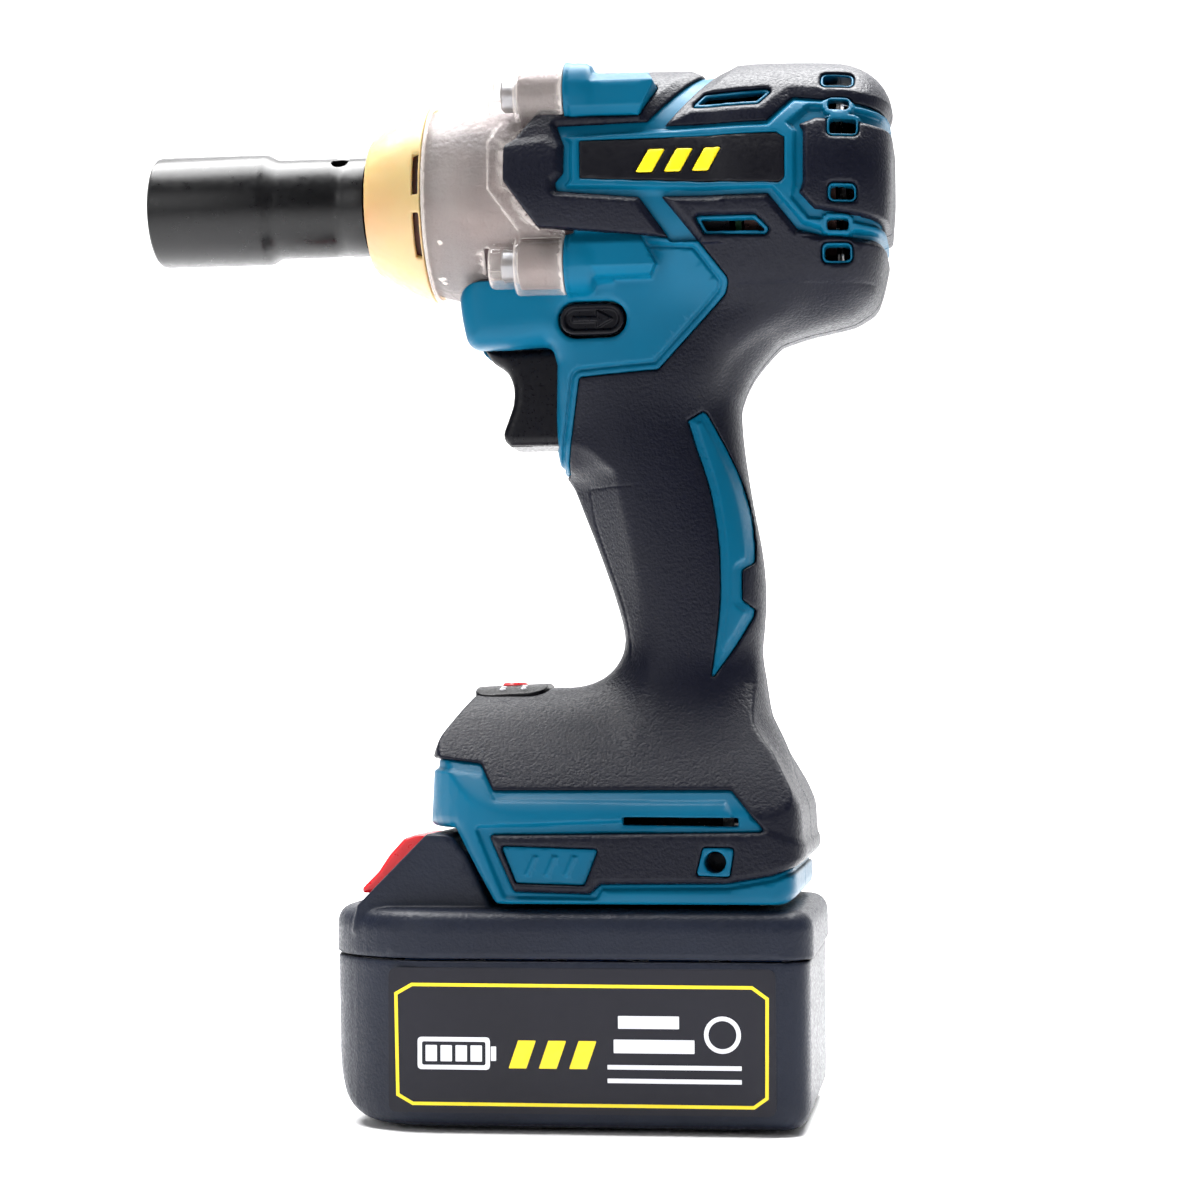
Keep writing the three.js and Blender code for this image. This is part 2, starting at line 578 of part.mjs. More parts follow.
// ---- Motor ----
function makeMotor() {
  const sun = gear(SUN_TEETH, PLANET_ANGLES[0], [23.9, 34.8]).translate([0, 0, AXIS_Z]);
  const shaft = join(axle(34.7, 41, 3.7, 14), axle(40.9, 73.2, 3, 14), axle(45, 63, 11.6, 24));
  node("rotor", join(sun, shaft), STEEL);

  const slots = Array.from({ length: 6 }, (_, i) => {
    const [y, z] = onOrbit((i + 0.5) * (Math.PI / 3), 17);
    return axle(42, 66, 4.4, 8, y, z);
  });
  node("stator", cut(ring(43.5, 64.4, 12.2, 24.6, 24), ...slots), COPPER);

  const blades = Array.from({ length: 9 }, (_, i) => {
    const blade = new THREE.BoxGeometry(4, 13.6, 1).translate(67.8, 12.4, 0);
    blade.rotateX((i * 2 * Math.PI) / 9).translate(0, 0, AXIS_Z);
    return solid(blade);
  });
  const hub = ring(65.8, 69.8, 3.4, 6.5, 12);
  node("motor_fan", join(hub, ring(65.6, 66.6, 6, 20.4, 20), ...blades), BLACK_PLASTIC);
  node("front_bearing", ring(36.5, 39.8, 4, 8, 18), STEEL);
  node("rear_bearing", ring(70.9, 73.2, 3.3, 6.5, 18), STEEL);
  node("motor_board", ring(41.2, 42.6, 8, 22), CIRCUIT);
}

// ---- Switch group: trigger, switch and direction lever ----
const LEVER = { x: 8.5, z: 183.8, length: 16, height: 7.8, half: 20 };

function leverOutline(grow) {
  const radius = LEVER.height / 2 + grow;
  const straight = (LEVER.length - LEVER.height) / 2;
  return Array.from({ length: 12 }, (_, i) => {
    const angle = ((i + 0.5) * 2 * Math.PI) / 12;
    const side = Math.sign(Math.cos(angle));
    return [LEVER.x + side * straight + radius * Math.cos(angle), LEVER.z + radius * Math.sin(angle)];
  });
}

function makeSwitch() {
  const outline = [
    [4, 156.4], [4, 179.2], [-19.5, 179.2], [-18.6, 177.4], [-15, 174.7], [-13.5, 170.6],
    [-13.8, 166], [-16.1, 161], [-16.1, 158.8], [-14.1, 156.4],
  ];
  const pad = sideOutline(outline.reverse(), -9.2, 9.2);
  const plunger = rod([3.8, 0, 166], [14, 0, 166], 2.4, 14);
  node("trigger", join(pad, plunger), BLACK_PLASTIC);

  const block = join(box([11.6, 30.5], [-9.5, 9.5], [151, 177.2]), rod([20, 0, 177], [20, 0, 184.6], 2, 14));
  node("switch_body", cut(block, rod([10, 0, 166], [22.4, 0, 166], 2.8, 14)), BLACK_PLASTIC);

  const arm = join(rod([20, 0, 180.4], [20, 0, 183.4], 4, 18), box([8.5, 20], [-1, 1], [181.4, 183.4]));
  const tip = rod([8.5, 0, 181.4], [8.5, 0, 183.4], 1.7, 14);
  node("switch_toggle", cut(join(arm, tip), rod([20, 0, 179], [20, 0, 186], 2.3, 14)), BLACK_PLASTIC);

  const bar = sideOutline(leverOutline(0), -LEVER.half, LEVER.half);
  const notch = join(box([6.4, 12], [-2, 2], [180.9, 190]), box([11, 20], [-4.4, 4.4], [180.9, 190]));
  node("direction_lever", cut(bar, notch), BLACK_PLASTIC);
}

// ---- Foot: light, control board, mode panel and terminals ----
function makeElectronics() {
  node("work_light", rod([-24.2, 0, LIGHT_Z], [-17, 0, LIGHT_Z], 2.9, 12), CLEAR);
  const parts = [box([0, 12], [-12, 4], [77.9, 84]), box([16, 22], [4, 16], [77.9, 82])];
  node("controller_board", join(box([-18, 36], [-25, 25], [76.4, 78]), ...parts), CIRCUIT);
  const panel = planOutline(roundedPlan(-22, -5, 10, 5), 96.7, 100.2);
  node("mode_panel", cut(panel, rod([-13.5, 0, 90], [-13.5, 0, 110], 3.3, 16)), BLACK_PLASTIC);
  node("mode_button", rod([-13.5, 0, 97.6], [-13.5, 0, 100.9], 3, 16), RED);
  const blades = [-10, 10].map((y) => box([24, 34], [y - 0.5, y + 0.5], [56.5, 66]));
  const holder = join(box([9, 37], [-15.6, 15.6], [65, 69.5]), ...blades);
  node("terminal_block", holder, BLACK_PLASTIC);
}

// ---- Battery ----
const batteryPlan = (depth) =>
  roundedPlan(BATTERY.front + depth, BATTERY.rear - depth, BATTERY.half - depth, 28 - depth, 8 - depth);

function batteryTub(depth) {
  const shape = batteryPlan(depth + 7);
  const options = { depth: 40, bevelThickness: 7, bevelSize: 7, bevelSegments: 2, curveSegments: 3 };
  const geometry = new THREE.ExtrudeGeometry(shape, options);
  const side = [[-53.7, 60], [-53.7, 34], [-52.8, 22], [-49.5, 11], [-43.5, 4], [-33, 0], [60, 0], [60, 60]];
  return solid(geometry.translate(0, 0, 7 + depth)).intersect(sideOutline(inset(side, depth), -50, 50));
}

function batteryBlock() {
  const side = [[-46.6, 45], [-14.6, 45], [-14.6, 49.9], [-24, 65.6], [-31.4, 65.6], [-46.6, 49.6]];
  const rail = join(
    box([-30, 46], [-RAIL.neck, RAIL.neck], [45, RAIL.neckTop]),
    box([-30, 46], [-RAIL.flange, RAIL.flange], [RAIL.neckTop, RAIL.top]),
  );
  return join(sideOutline(side, -30, 30), rail);
}

function makeBattery() {
  const half = BATTERY.seam - GAP / 2;
  const below = box([-80, 80], [-50, 50], [0, half]);
  const hollow = planOutline(batteryPlan(BATTERY.wall), 2.6, 60);
  const tub = cut(batteryTub(0).intersect(below), hollow.intersect(batteryTub(BATTERY.wall)));
  node("battery_case_lower", tub, SLATE);

  const deck = planOutline(batteryPlan(0), BATTERY.seam + GAP / 2, BATTERY.deck);
  const inside = planOutline(batteryPlan(BATTERY.wall), 30, BATTERY.deck - BATTERY.wall);
  const blockInside = join(
    box([-27, 43], [-19, 19], [40, 59.6]),
    sideOutline([[-24, 40], [-18, 40], [-18, 50], [-25.5, 62], [-28, 62]], -24, 24),
  );
  const slots = [-10, 10].map((y) => box([21, 60], [y - 1.1, y + 1.1], [52, 70]));
  const pocket = sideOutline([[-44, 45], [-29.6, 45], [-29.6, 75], [-44, 75]], -11.4, 11.4);
  node("battery_case_upper", cut(join(deck, batteryBlock()), inside, blockInside, ...slots, pocket), SLATE);

  const button = [[-43.6, 51.5], [-30, 51.5], [-30, 65.9], [-32.6, 65.9], [-43.6, 54.4]];
  const guide = box([-38, -34], [-3, 3], [45.5, 52]);
  node("release_button", join(sideOutline(button, -11, 11), guide), RED);
  const springPoint = (t) => {
    const angle = t * 4 * 2 * Math.PI;
    return new THREE.Vector3(-36 + 4.6 * Math.cos(angle), 4.6 * Math.sin(angle), 41.6 + 9 * t);
  };
  const springPath = Object.assign(new THREE.Curve(), { getPoint: springPoint });
  const wire = new THREE.Shape().absarc(0, 0, 0.5, 0, 2 * Math.PI);
  const wound = new THREE.ExtrudeGeometry(wire, { extrudePath: springPath, steps: 30, curveSegments: 2 });
  node("release_spring", solid(wound), STEEL);

  const cells = [0, 1].flatMap((row) =>
    Array.from({ length: CELL.across }, (_, i) => {
      const x = CELL.middle + (i - (CELL.across - 1) / 2) * CELL.pitch;
      const z = CELL.firstZ + row * CELL.pitch - 0.4 * row;
      return rod([x, -CELL.length / 2, z], [x, CELL.length / 2, z], CELL.radius, 10);
    }),
  );
  const reach = 2 * CELL.pitch + 4;
  const strips = [-1, 1].map((side) => {
    const y = (side * CELL.length) / 2;
    const [x0, x1] = [CELL.middle - reach, CELL.middle + reach];
    return box([x0, x1], [y - 0.2, y + 0.2], [CELL.firstZ - 4, CELL.firstZ + CELL.pitch + 4]);
  });
  node("cell_pack", join(...cells, ...strips), CELL_WRAP);
  const contacts = [-10, 10].flatMap((y) =>
    [-1.9, 1.3].map((side) => box([22, 34], [y + side, y + side + 0.6], [42, 59])),
  );
  node("battery_board", join(box([-20, 40], [-17, 17], [41.4, 42.8]), ...contacts), CIRCUIT);
}

makeHousing();
makeLabelPlates();
makeScrews();
makeHammerCase();
makeCover();
makeNose();
makeSocket();
makeAnvil();
makeHammer();
makeSpring();
makeSpindle();
makeGears();
makeMotor();
makeSwitch();
makeElectronics();
makeBattery();

export default group;
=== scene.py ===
import json
import math

import bmesh
import bpy
import numpy as np
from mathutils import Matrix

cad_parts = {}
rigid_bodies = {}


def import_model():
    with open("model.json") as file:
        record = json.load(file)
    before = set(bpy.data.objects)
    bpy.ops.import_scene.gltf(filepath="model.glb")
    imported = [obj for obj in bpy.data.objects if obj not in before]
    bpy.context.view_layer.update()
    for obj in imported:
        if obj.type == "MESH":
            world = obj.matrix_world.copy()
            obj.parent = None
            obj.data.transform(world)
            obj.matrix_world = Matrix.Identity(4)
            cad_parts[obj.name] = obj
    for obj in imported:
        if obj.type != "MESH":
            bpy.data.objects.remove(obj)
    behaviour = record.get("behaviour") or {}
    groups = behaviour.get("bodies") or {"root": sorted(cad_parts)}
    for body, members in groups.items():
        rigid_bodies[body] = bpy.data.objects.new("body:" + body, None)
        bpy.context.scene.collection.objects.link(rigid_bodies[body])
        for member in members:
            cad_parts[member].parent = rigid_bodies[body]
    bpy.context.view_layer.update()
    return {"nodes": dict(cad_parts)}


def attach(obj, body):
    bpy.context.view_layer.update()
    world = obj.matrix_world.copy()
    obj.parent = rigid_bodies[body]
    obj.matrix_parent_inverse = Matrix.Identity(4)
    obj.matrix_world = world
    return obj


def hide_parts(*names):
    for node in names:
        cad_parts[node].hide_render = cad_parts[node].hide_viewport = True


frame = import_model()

import openvdb
from mathutils import Matrix, Vector

# All shapes are written in millimetres, in the frame of the CAD model: +Z up, -X towards the socket,
# -Y the side that the camera sees. The meshes are scaled to metres when they are made.
MM = 0.001
AXIS_Z = 215.3  # height of the socket and motor axis
SLEEVE_SIDE = 21.3  # the case screws' sleeves and bosses are this far from the middle
SCREW_SIDE = 21  # and the screws themselves this far
UPPER_LIFT = 21  # height of the upper case screws over the axis
LOWER_LIFT = -18.5  # and of the lower ones


scene = bpy.context.scene


# ---- Distance fields on a regular grid: negative inside, in millimetres ----
class Grid:
    def __init__(self, low, high, step):
        self.low = np.array(low, float)
        self.step = step
        self.size = tuple(int(math.ceil((b - a) / step)) + 1 for a, b in zip(low, high))
        ramps = [(a + step * np.arange(n)).astype(np.float32) for a, n in zip(low, self.size)]
        self.x = ramps[0][:, None, None]
        self.y = ramps[1][None, :, None]
        self.z = ramps[2][None, None, :]

    # Outlines in the side view, in the front view and from above
    def side(self, points):
        return polygon(points, self.x, self.z)

    def front(self, points):
        return polygon(points, self.y, self.z)

    def plan(self, points):
        return polygon(points, self.x, self.y)

    # Distance from a line parallel to the X axis
    def around_x(self, y=0.0, z=AXIS_Z):
        return np.hypot(self.y - y, self.z - z)

    def disc(self, x, z, radius):
        return np.hypot(self.x - x, self.z - z) - radius


def polygon(points, u, v):
    """Signed distance from a closed outline, on two ramps that broadcast against each other."""
    nearest = 1e9
    inside = np.zeros(np.broadcast(u, v).shape, bool)
    for (u0, v0), (u1, v1) in zip(points, points[1:] + points[:1]):
        du, dv = u1 - u0, v1 - v0
        if du == dv == 0:
            continue
        pu, pv = u - u0, v - v0
        t = np.clip((pu * du + pv * dv) / (du * du + dv * dv), 0, 1)
        nearest = np.minimum(nearest, (pu - t * du) ** 2 + (pv - t * dv) ** 2)
        if dv:
            inside ^= ((v0 <= v) != (v1 <= v)) & (pu < pv * (du / dv))
    return np.where(inside, -1, 1).astype(np.float32) * np.sqrt(nearest)


def rounded(points, radius, steps=5):
    """The outline with a curve of about this radius at every corner. radius may be a list."""
    radii = radius if isinstance(radius, (list, tuple)) else [radius] * len(points)
    out = []
    for i, (p, r) in enumerate(zip(points, radii)):
        p = Vector(p)
        a, b = Vector(points[i - 1]) - p, Vector(points[(i + 1) % len(points)]) - p
        if r <= 0 or a.length < 1e-6 or b.length < 1e-6:
            out.append(tuple(p))
            continue
        half = a.angle(b) / 2
        reach = min(r / max(math.tan(half), 1e-3), 0.48 * a.length, 0.48 * b.length)
        start, end = p + a.normalized() * reach, p + b.normalized() * reach
        for k in range(steps + 1):
            t = k / steps
            out.append(tuple((1 - t) ** 2 * start + 2 * t * (1 - t) * p + t * t * end))
    return out


def oval_outline(u, v, half_u, half_v, steps=10):
    """A bar with half-round ends."""
    out = []
    for side in (1, -1):
        for k in range(steps + 1):
            angle = math.pi * (k / steps - 0.5)
            out.append((u + side * (half_u - half_v + half_v * math.cos(angle)),
                        v + side * half_v * math.sin(angle)))
    return out


def plan_outline(front, rear, half, front_radius, rear_radius, steps=12):
    """A rectangle in plan whose corners are arcs."""
    out = []
    for cx, cy, r, start in ((rear - rear_radius, half - rear_radius, rear_radius, 0),
                             (front + front_radius, half - front_radius, front_radius, 90),
                             (front + front_radius, front_radius - half, front_radius, 180),
                             (rear - rear_radius, rear_radius - half, rear_radius, 270)):
        for k in range(steps + 1):
            angle = math.radians(start + 90 * k / steps)
            out.append((cx + r * math.cos(angle), cy + r * math.sin(angle)))
    return out


def curve(points, steps=6):
    """A smooth open line through the points."""
    out = []
    for i in range(len(points) - 1):
        p0, p1 = Vector(points[max(i - 1, 0)]), Vector(points[i])
        p2, p3 = Vector(points[i + 1]), Vector(points[min(i + 2, len(points) - 1)])
        for k in range(steps):
            t = k / steps
            out.append(tuple(0.5 * (2 * p1 + (p2 - p0) * t + (2 * p0 - 5 * p1 + 4 * p2 - p3) * t * t
                                    + (3 * p1 - p0 - 3 * p2 + p3) * t ** 3)))
    return out + [tuple(points[-1])]


def along(points, ramp):
    """A smooth value along a ramp, through (position, value) pairs."""
    line = curve(sorted(points), 8)
    return np.interp(ramp, [p[0] for p in line], [p[1] for p in line]).astype(np.float32)


def join(*fields):
    out = fields[0]
    for field in fields[1:]:
        out = np.minimum(out, field)
    return out


def meet(*fields):
    out = fields[0]
    for field in fields[1:]:
        out = np.maximum(out, field)
    return out


def soft_join(a, b, width):
    """Union with a fillet."""
    h = np.maximum(width - np.abs(a - b), 0)
    return np.minimum(a, b) - h * h * (0.25 / width)


def soft_meet(a, b, width):
    """Intersection with a rounded edge."""
    return -soft_join(-a, -b, width)


def slope(distance, width):
    """1 on an outline, falling evenly to 0 at this distance outside it."""
    return np.clip(1 - distance / width, 0, 1)


def groove(distance, at, width, depth):
    """Depth of a V groove that follows an outline at a distance from it."""
    return depth * np.clip(1 - np.abs(distance - at) / (width / 2), 0, 1)


# ---- Meshes ----
def sample(field, points):
    """Field values between grid points, with points in grid steps."""
    limit = np.array(field.shape) - 1.001
    p = np.clip(points, 0, limit)
    i = p.astype(int)
    f = p - i
    value = 0
    for dx in (0, 1):
        wx = f[:, 0] if dx else 1 - f[:, 0]
        for dy in (0, 1):
            wy = f[:, 1] if dy else 1 - f[:, 1]
            for dz in (0, 1):
                wz = f[:, 2] if dz else 1 - f[:, 2]
                value = value + wx * wy * wz * field[i[:, 0] + dx, i[:, 1] + dy, i[:, 2] + dz]
    return value


def slope_at(field, points, reach=0.6):
    """Direction in which the field rises."""
    out = np.empty_like(points)
    for axis in range(3):
        step = np.zeros(3)
        step[axis] = reach
        out[:, axis] = sample(field, points + step) - sample(field, points - step)
    return out / np.maximum(np.linalg.norm(out, axis=1, keepdims=True), 1e-9)


def surface(grid, field, adaptivity):
    """Vertices in millimetres, faces and normals of a field's zero surface."""
    band = 4 * grid.step
    field = np.ascontiguousarray(np.broadcast_to(field, grid.size), dtype=np.float32)
    volume = openvdb.FloatGrid(band)
    volume.copyFromArray(np.clip(field, -band, band), ijk=(0, 0, 0))
    points, triangles, quads = volume.convertToPolygons(isovalue=0.0, adaptivity=adaptivity)
    points = points.astype(float)
    normals = slope_at(field, points)
    for _ in range(2):
        off = np.clip(sample(field, points) / grid.step, -0.25, 0.25)
        points -= normals * off[:, None]
    normals = slope_at(field, points)
    return points * grid.step + grid.low, triangles, quads, normals


def build(name, vertices, triangles, quads, normals=None, mirrored=False):
    """A mesh object from arrays in millimetres, its faces turned to face the way of the normals."""
    vertices = np.array(vertices, float)
    faces = [np.asarray(f, int) for f in (triangles, quads)]
    if mirrored:
        vertices = vertices * (1, -1, 1)
        normals = None if normals is None else normals * (1, -1, 1)
        faces = [f[:, ::-1] for f in faces]
    if normals is not None:
        f = faces[1] if len(faces[1]) else faces[0]
        turn = np.cross(vertices[f[:, 1]] - vertices[f[:, 0]], vertices[f[:, 2]] - vertices[f[:, 0]])
        if (turn * normals[f[:, 0]]).sum() < 0:
            faces = [f[:, ::-1] for f in faces]
    mesh = bpy.data.meshes.new(name)
    count = [len(f) for f in faces]
    loops = np.concatenate([f.ravel() for f in faces])
    mesh.vertices.add(len(vertices))
    mesh.vertices.foreach_set("co", (vertices * MM).astype(np.float32).ravel())
    mesh.loops.add(len(loops))
    mesh.loops.foreach_set("vertex_index", loops.astype(np.int32))
    mesh.polygons.add(sum(count))
    starts = np.concatenate([3 * np.arange(count[0]), 3 * count[0] + 4 * np.arange(count[1])])
    mesh.polygons.foreach_set("loop_start", starts.astype(np.int32))
    mesh.update(calc_edges=True)
    mesh.validate()
    mesh.polygons.foreach_set("use_smooth", np.ones(len(mesh.polygons), bool))
    if normals is not None and len(mesh.loops) == len(loops):
        mesh.normals_split_custom_set_from_vertices(normals.astype(np.float32))
    obj = bpy.data.objects.new(name, mesh)
    bpy.context.scene.collection.objects.link(obj)
    return obj


def carve(name, grid, field, adaptivity, mirrored=False):
    """A mesh object from a field, on the grid's own side or mirrored to the other one."""
    return build(name, *surface(grid, field, adaptivity), mirrored=mirrored)


CREASE = math.radians(32)  # turned pieces look sharp above this angle


def lathe(name, profile, center, axis="x", shape=None, *, steps, close=True):
    """A turned piece. profile holds (position on the axis, radius) pairs; shape(angle, position, radius)
    may change the radius round the axis."""
    profile = np.array(profile, float)
    angles = 2 * math.pi * np.arange(steps) / steps
    rings = []
    for position, radius in profile:
        r = np.full(steps, radius)
        if shape:
            r = np.array([shape(a, position, radius) for a in angles])
        rings.append(np.stack([np.full(steps, position), r * np.cos(angles), r * np.sin(angles)], 1))
    rings = np.array(rings)
    order = {"x": (0, 1, 2), "y": (2, 0, 1), "z": (1, 2, 0)}[axis]
    vertices = rings.reshape(-1, 3)[:, order] + np.array(center, float)
    n = len(profile)
    i, k = np.meshgrid(np.arange(n if close else n - 1), np.arange(steps), indexing="ij")
    a, b = i * steps + k, i * steps + (k + 1) % steps
    c, d = (i + 1) % n * steps + (k + 1) % steps, (i + 1) % n * steps + k
    quads = np.stack([a, b, c, d], -1).reshape(-1, 4)
    obj = build(name, vertices, np.zeros((0, 3), int), quads)
    tidy = bmesh.new()
    tidy.from_mesh(obj.data)
    bmesh.ops.remove_doubles(tidy, verts=tidy.verts, dist=0.00001)
    bmesh.ops.recalc_face_normals(tidy, faces=tidy.faces)
    tidy.to_mesh(obj.data)
    tidy.free()
    obj.data.set_sharp_from_angle(angle=CREASE)
    return obj


def drill(piece, cutter):
    """Cut the cutter out of the piece, and remove it."""
    cut = piece.modifiers.new("drill", "BOOLEAN")
    cut.operation = "DIFFERENCE"
    cut.solver = "EXACT"
    cut.object = cutter
    ready = piece.evaluated_get(bpy.context.evaluated_depsgraph_get())
    mesh = bpy.data.meshes.new_from_object(ready)
    piece.modifiers.clear()
    old, piece.data = piece.data, mesh
    bpy.data.meshes.remove(old)
    mesh.name = piece.name
    bpy.data.meshes.remove(cutter.data)
    piece.data.set_sharp_from_angle(angle=CREASE)


# ---- Housing ----
HEAD_REAR = 77.3
SKIN = 1.9  # depth of the overmould, and of the teal channels between its panels

body = Grid((-37, -38.4, 49), (79.4, 0.8, 247), 0.4)
x, y, z = body.x, body.y, body.z

# Head: round about the axis, with a thicker rear, and open in front of the panels' edge
head_radius = along([(-40, 30.1), (-12, 30.1), (20, 29.7), (34, 29.5), (40, 30.3), (47, 30.7), (62, 30.3),
                     (70, 29.2), (80, 27.2)], x)
head = body.around_x() - head_radius
head = soft_meet(head, x - HEAD_REAR, 13)
rear_side = rounded([(-60, 300), (79, 300), (77.6, 214), (76.2, 202), (74.2, 192.5), (71.8, 187.6),
                     (67.5, 184.4), (61, 182.5), (50, 180), (40, 168), (-60, 168)],
                    [0, 0, 10, 8, 5, 4, 5, 8, 0, 0, 0])
rear_side = body.side(rear_side)
head = soft_meet(head, rear_side, 2)
front_edge = [(-6, 260), (-6, 236.5), (-3.1, 233), (-8.7, 225.3), (-10.6, 223.4), (-10.6, 215.3),
              (-2.6, 204.4), (2.6, 203.6), (2.6, 150), (90, 150), (90, 260)]
head = soft_meet(head, body.side(front_edge), 0.8)

# Lower body: the block under the head that holds the trigger
throat_side = rounded([(-24.3, 212), (-24.6, 190), (-22.3, 178.2), (-12, 178.2), (-2.8, 179), (-1.4, 175),
                       (-1.7, 158), (-0.6, 150), (10, 150), (30, 162), (38, 175), (54, 186), (58, 196),
                       (58, 212)], [0, 3, 4, 4, 2, 2, 4, 3, 0, 0, 10, 10, 8, 0])
throat_half = along([(150, 11.8), (158, 13.2), (164, 15.4), (171, 17.8), (180, 19.2), (188, 19.9),
                     (196, 21.6), (204, 24.4), (212, 26.5)], z)
throat = soft_meet(body.side(throat_side), np.abs(y) - throat_half, 6)
nose_room = body.around_x() - 27.2
throat = soft_meet(throat, -meet(nose_room, x - 3), 0.8)

# Handle: oval sections with a flat facet on each side of the front
handle_front = along([(88, 8.5), (96, 11), (104, 12.8), (111.4, 13.1), (120.3, 10.9), (132.1, 6.8),
                      (142.9, 2.6), (149, 0.2), (154, -1.6), (162, -1.8), (176, -1.4), (190, -1.4),
                      (204, -1.4)], z)
handle_rear = along([(88, 45.5), (96.4, 44.2), (104.2, 44.6), (113.5, 45.8), (122.7, 46.1), (132, 45.2),
                     (147, 42.5), (160, 40.9), (168, 41.2), (176, 44), (190, 50), (204, 54)], z)
handle_half = along([(88, 17.5), (104, 16.6), (118, 17.2), (134, 18.2), (150, 18.6), (170, 18.4),
                     (204, 20)], z)


def oval(power=2.5):
    """Distance from the handle's sections, which are ovals between its front and rear lines."""
    middle = (handle_front + handle_rear) / 2
    length = (handle_rear - handle_front) / 2
    u = np.abs(x - middle) / length
    v = np.abs(y) / handle_half
    g = (u ** power + v ** power) ** (1 / power)
    g = np.maximum(g, 0.02)
    rise = np.hypot((u / g) ** (power - 1) / length, (v / g) ** (power - 1) / handle_half)
    return ((g - 1) / np.maximum(rise, 0.02)).astype(np.float32)


handle = oval()
facet_edge = along([(88, 19.6), (104, 19.4), (111, 19.1), (119.7, 18), (130.3, 15.4), (142.7, 12),
                    (148.5, 10.6), (151, 8.4), (155.2, 4.6), (159, 0), (166, -6), (204, -8)], z)
facet = (facet_edge - x) * 0.76 + (-y - 15) * 0.65
handle = soft_meet(handle, facet, 0.7)
handle = meet(handle, z - 200, 88 - z)

# Foot: a flared block with a ridge, over the battery
foot_side = rounded([(-12.6, 50), (52, 50), (55.4, 52.5), (55.2, 57.5), (57.1, 61.5), (56.3, 71.7),
                     (49.4, 84.5), (44, 91), (41.5, 99.6), (-3.4, 99.7), (-20.8, 99), (-29.8, 84.6),
                     (-32, 67.2), (-23, 67.2)], [0, 4, 3, 3, 5, 8, 8, 6, 3, 14, 4, 4, 0, 0])
foot_front = [(0, 40), (-37.3, 40), (-37.3, 76)] + curve([(-37.1, 78), (-36.3, 82), (-34, 86)], 4) + \
    curve([(-33.4, 87), (-28, 91), (-22, 95.5), (-17, 101.5), (-16, 108)], 4) + [(5, 108), (5, 40)]
foot_plan = plan_outline(-32, 57.3, 37.4, 26, 10)
foot = soft_meet(body.side(foot_side), body.front(foot_front), 1.2)
foot = soft_meet(foot, body.plan(foot_plan), 3)
foot = soft_meet(foot, z - 100 + 0.022 * y * y, 1)
foot_floor = 50 - z

shape = soft_join(head, handle, 11)
shape = soft_join(shape, throat, 5)
# Under the rear of the head the shape runs down to a narrower keel
keel_half = along([(170, 9), (180, 11.5), (185, 15), (190, 19.5), (196, 23.5), (215, 27)], z)
keel = soft_meet(meet(rear_side + 0.6, 30 - x, x - 72, z - 200),
                 np.abs(y) - keel_half, 7)
shape = soft_join(shape, keel, 5)
shape = soft_join(shape, foot, 13)
shape = soft_meet(shape, join(body.side(front_edge), z - 203.8), 0.8)
shape = soft_meet(shape, foot_floor, 1.5)

# Openings: trigger, battery rail, block and terminals, mode panel, work light, lever, hook hole
trigger_room = meet(np.abs(y) - 9.7, body.side(rounded(
    [(-30, 155.7), (12.6, 155.7), (12.6, 179.5), (-30, 179.5)], [0, 0, 4, 0])))
rail_room = join(meet(np.abs(y) - 22.4, x - 47, -40 - x, z - 56),
                 meet(np.abs(y) - 26.4, x - 47, -40 - x, np.abs(z - 59.05) - 3.45))
block_room = meet(body.side([(-60, 40), (-12.2, 40), (-12.2, 50), (-22.7, 67), (-60, 67)]), np.abs(y) - 31)
terminal_room = meet(body.side([(8, 60), (38, 60), (38, 70), (8, 70)]), np.abs(y) - 16)
panel_room = meet(body.plan(rounded([(-22.4, -10.4), (-4.6, -10.4), (-4.6, 10.4), (-22.4, 10.4)], 5.3)),
                  96.4 - z)
light_room = meet(body.around_x(0, 184.2) - 3.2, x + 16)
lever_room = body.side(oval_outline(7.9, 184.3, 8.1, 4.2))
hook_hole = meet(body.disc(37.1, 60.3, 2.4), y + 25.5)
openings = join(trigger_room, rail_room, block_room, terminal_room, panel_room, light_room, hook_hole)

# ---- Side outlines of the panels, as (x, z) ----
CHANNEL = [(0.9, 214.4), (1.2, 212.7), (20, 210.8), (27, 201), (32.8, 201), (24.9, 210.8), (49.4, 210.8),
           (56, 202.7), (62, 201.3), (84, 200.1), (84, 204.1), (75.7, 204.5), (59.8, 206.8), (56.3, 210.5),
           (57.2, 213), (57.2, 224.8), (56.1, 226.5), (60.2, 228.2), (76.7, 226.6), (84, 226.4), (84, 229.9),
           (62.4, 232.6), (54.8, 233.5), (49, 227.5), (25.4, 227.2), (38, 244), (38, 264), (33, 264),
           (33, 242), (21.6, 228.4), (0.9, 227.9), (2.7, 223.4), (2.7, 216.5)]
RIDGE = [(2.3, 225.5), (4, 223.7), (4.1, 215), (2.4, 213.3), (34, 211.9), (50.2, 211.8), (57, 203.9),
         (62, 202.3), (84, 201.2), (84, 203.1), (62, 205), (58.6, 205.3), (55, 209.6), (55.7, 213),
         (55.7, 225), (54.2, 226.8), (58.7, 230.9), (62, 230.5), (84, 227.8), (84, 229.5), (62.4, 232.2),
         (54.9, 232.9), (49.2, 226.9), (34, 226.8)]
PLATE = [(6, 224.4), (6.2, 215.1), (34, 213.6), (52.1, 212.8), (53.4, 214), (53.4, 223.4), (51.3, 224.9)]
BLOCK = [(-14, 224.2), (-1.4, 225.8), (2.7, 223.2), (2.7, 216.5), (0.9, 213), (40, 210.6), (40, 190),
         (-14, 190)]
REAR_BLOCK = [(55.5, 230), (55.5, 201), (84, 203), (84, 228)]
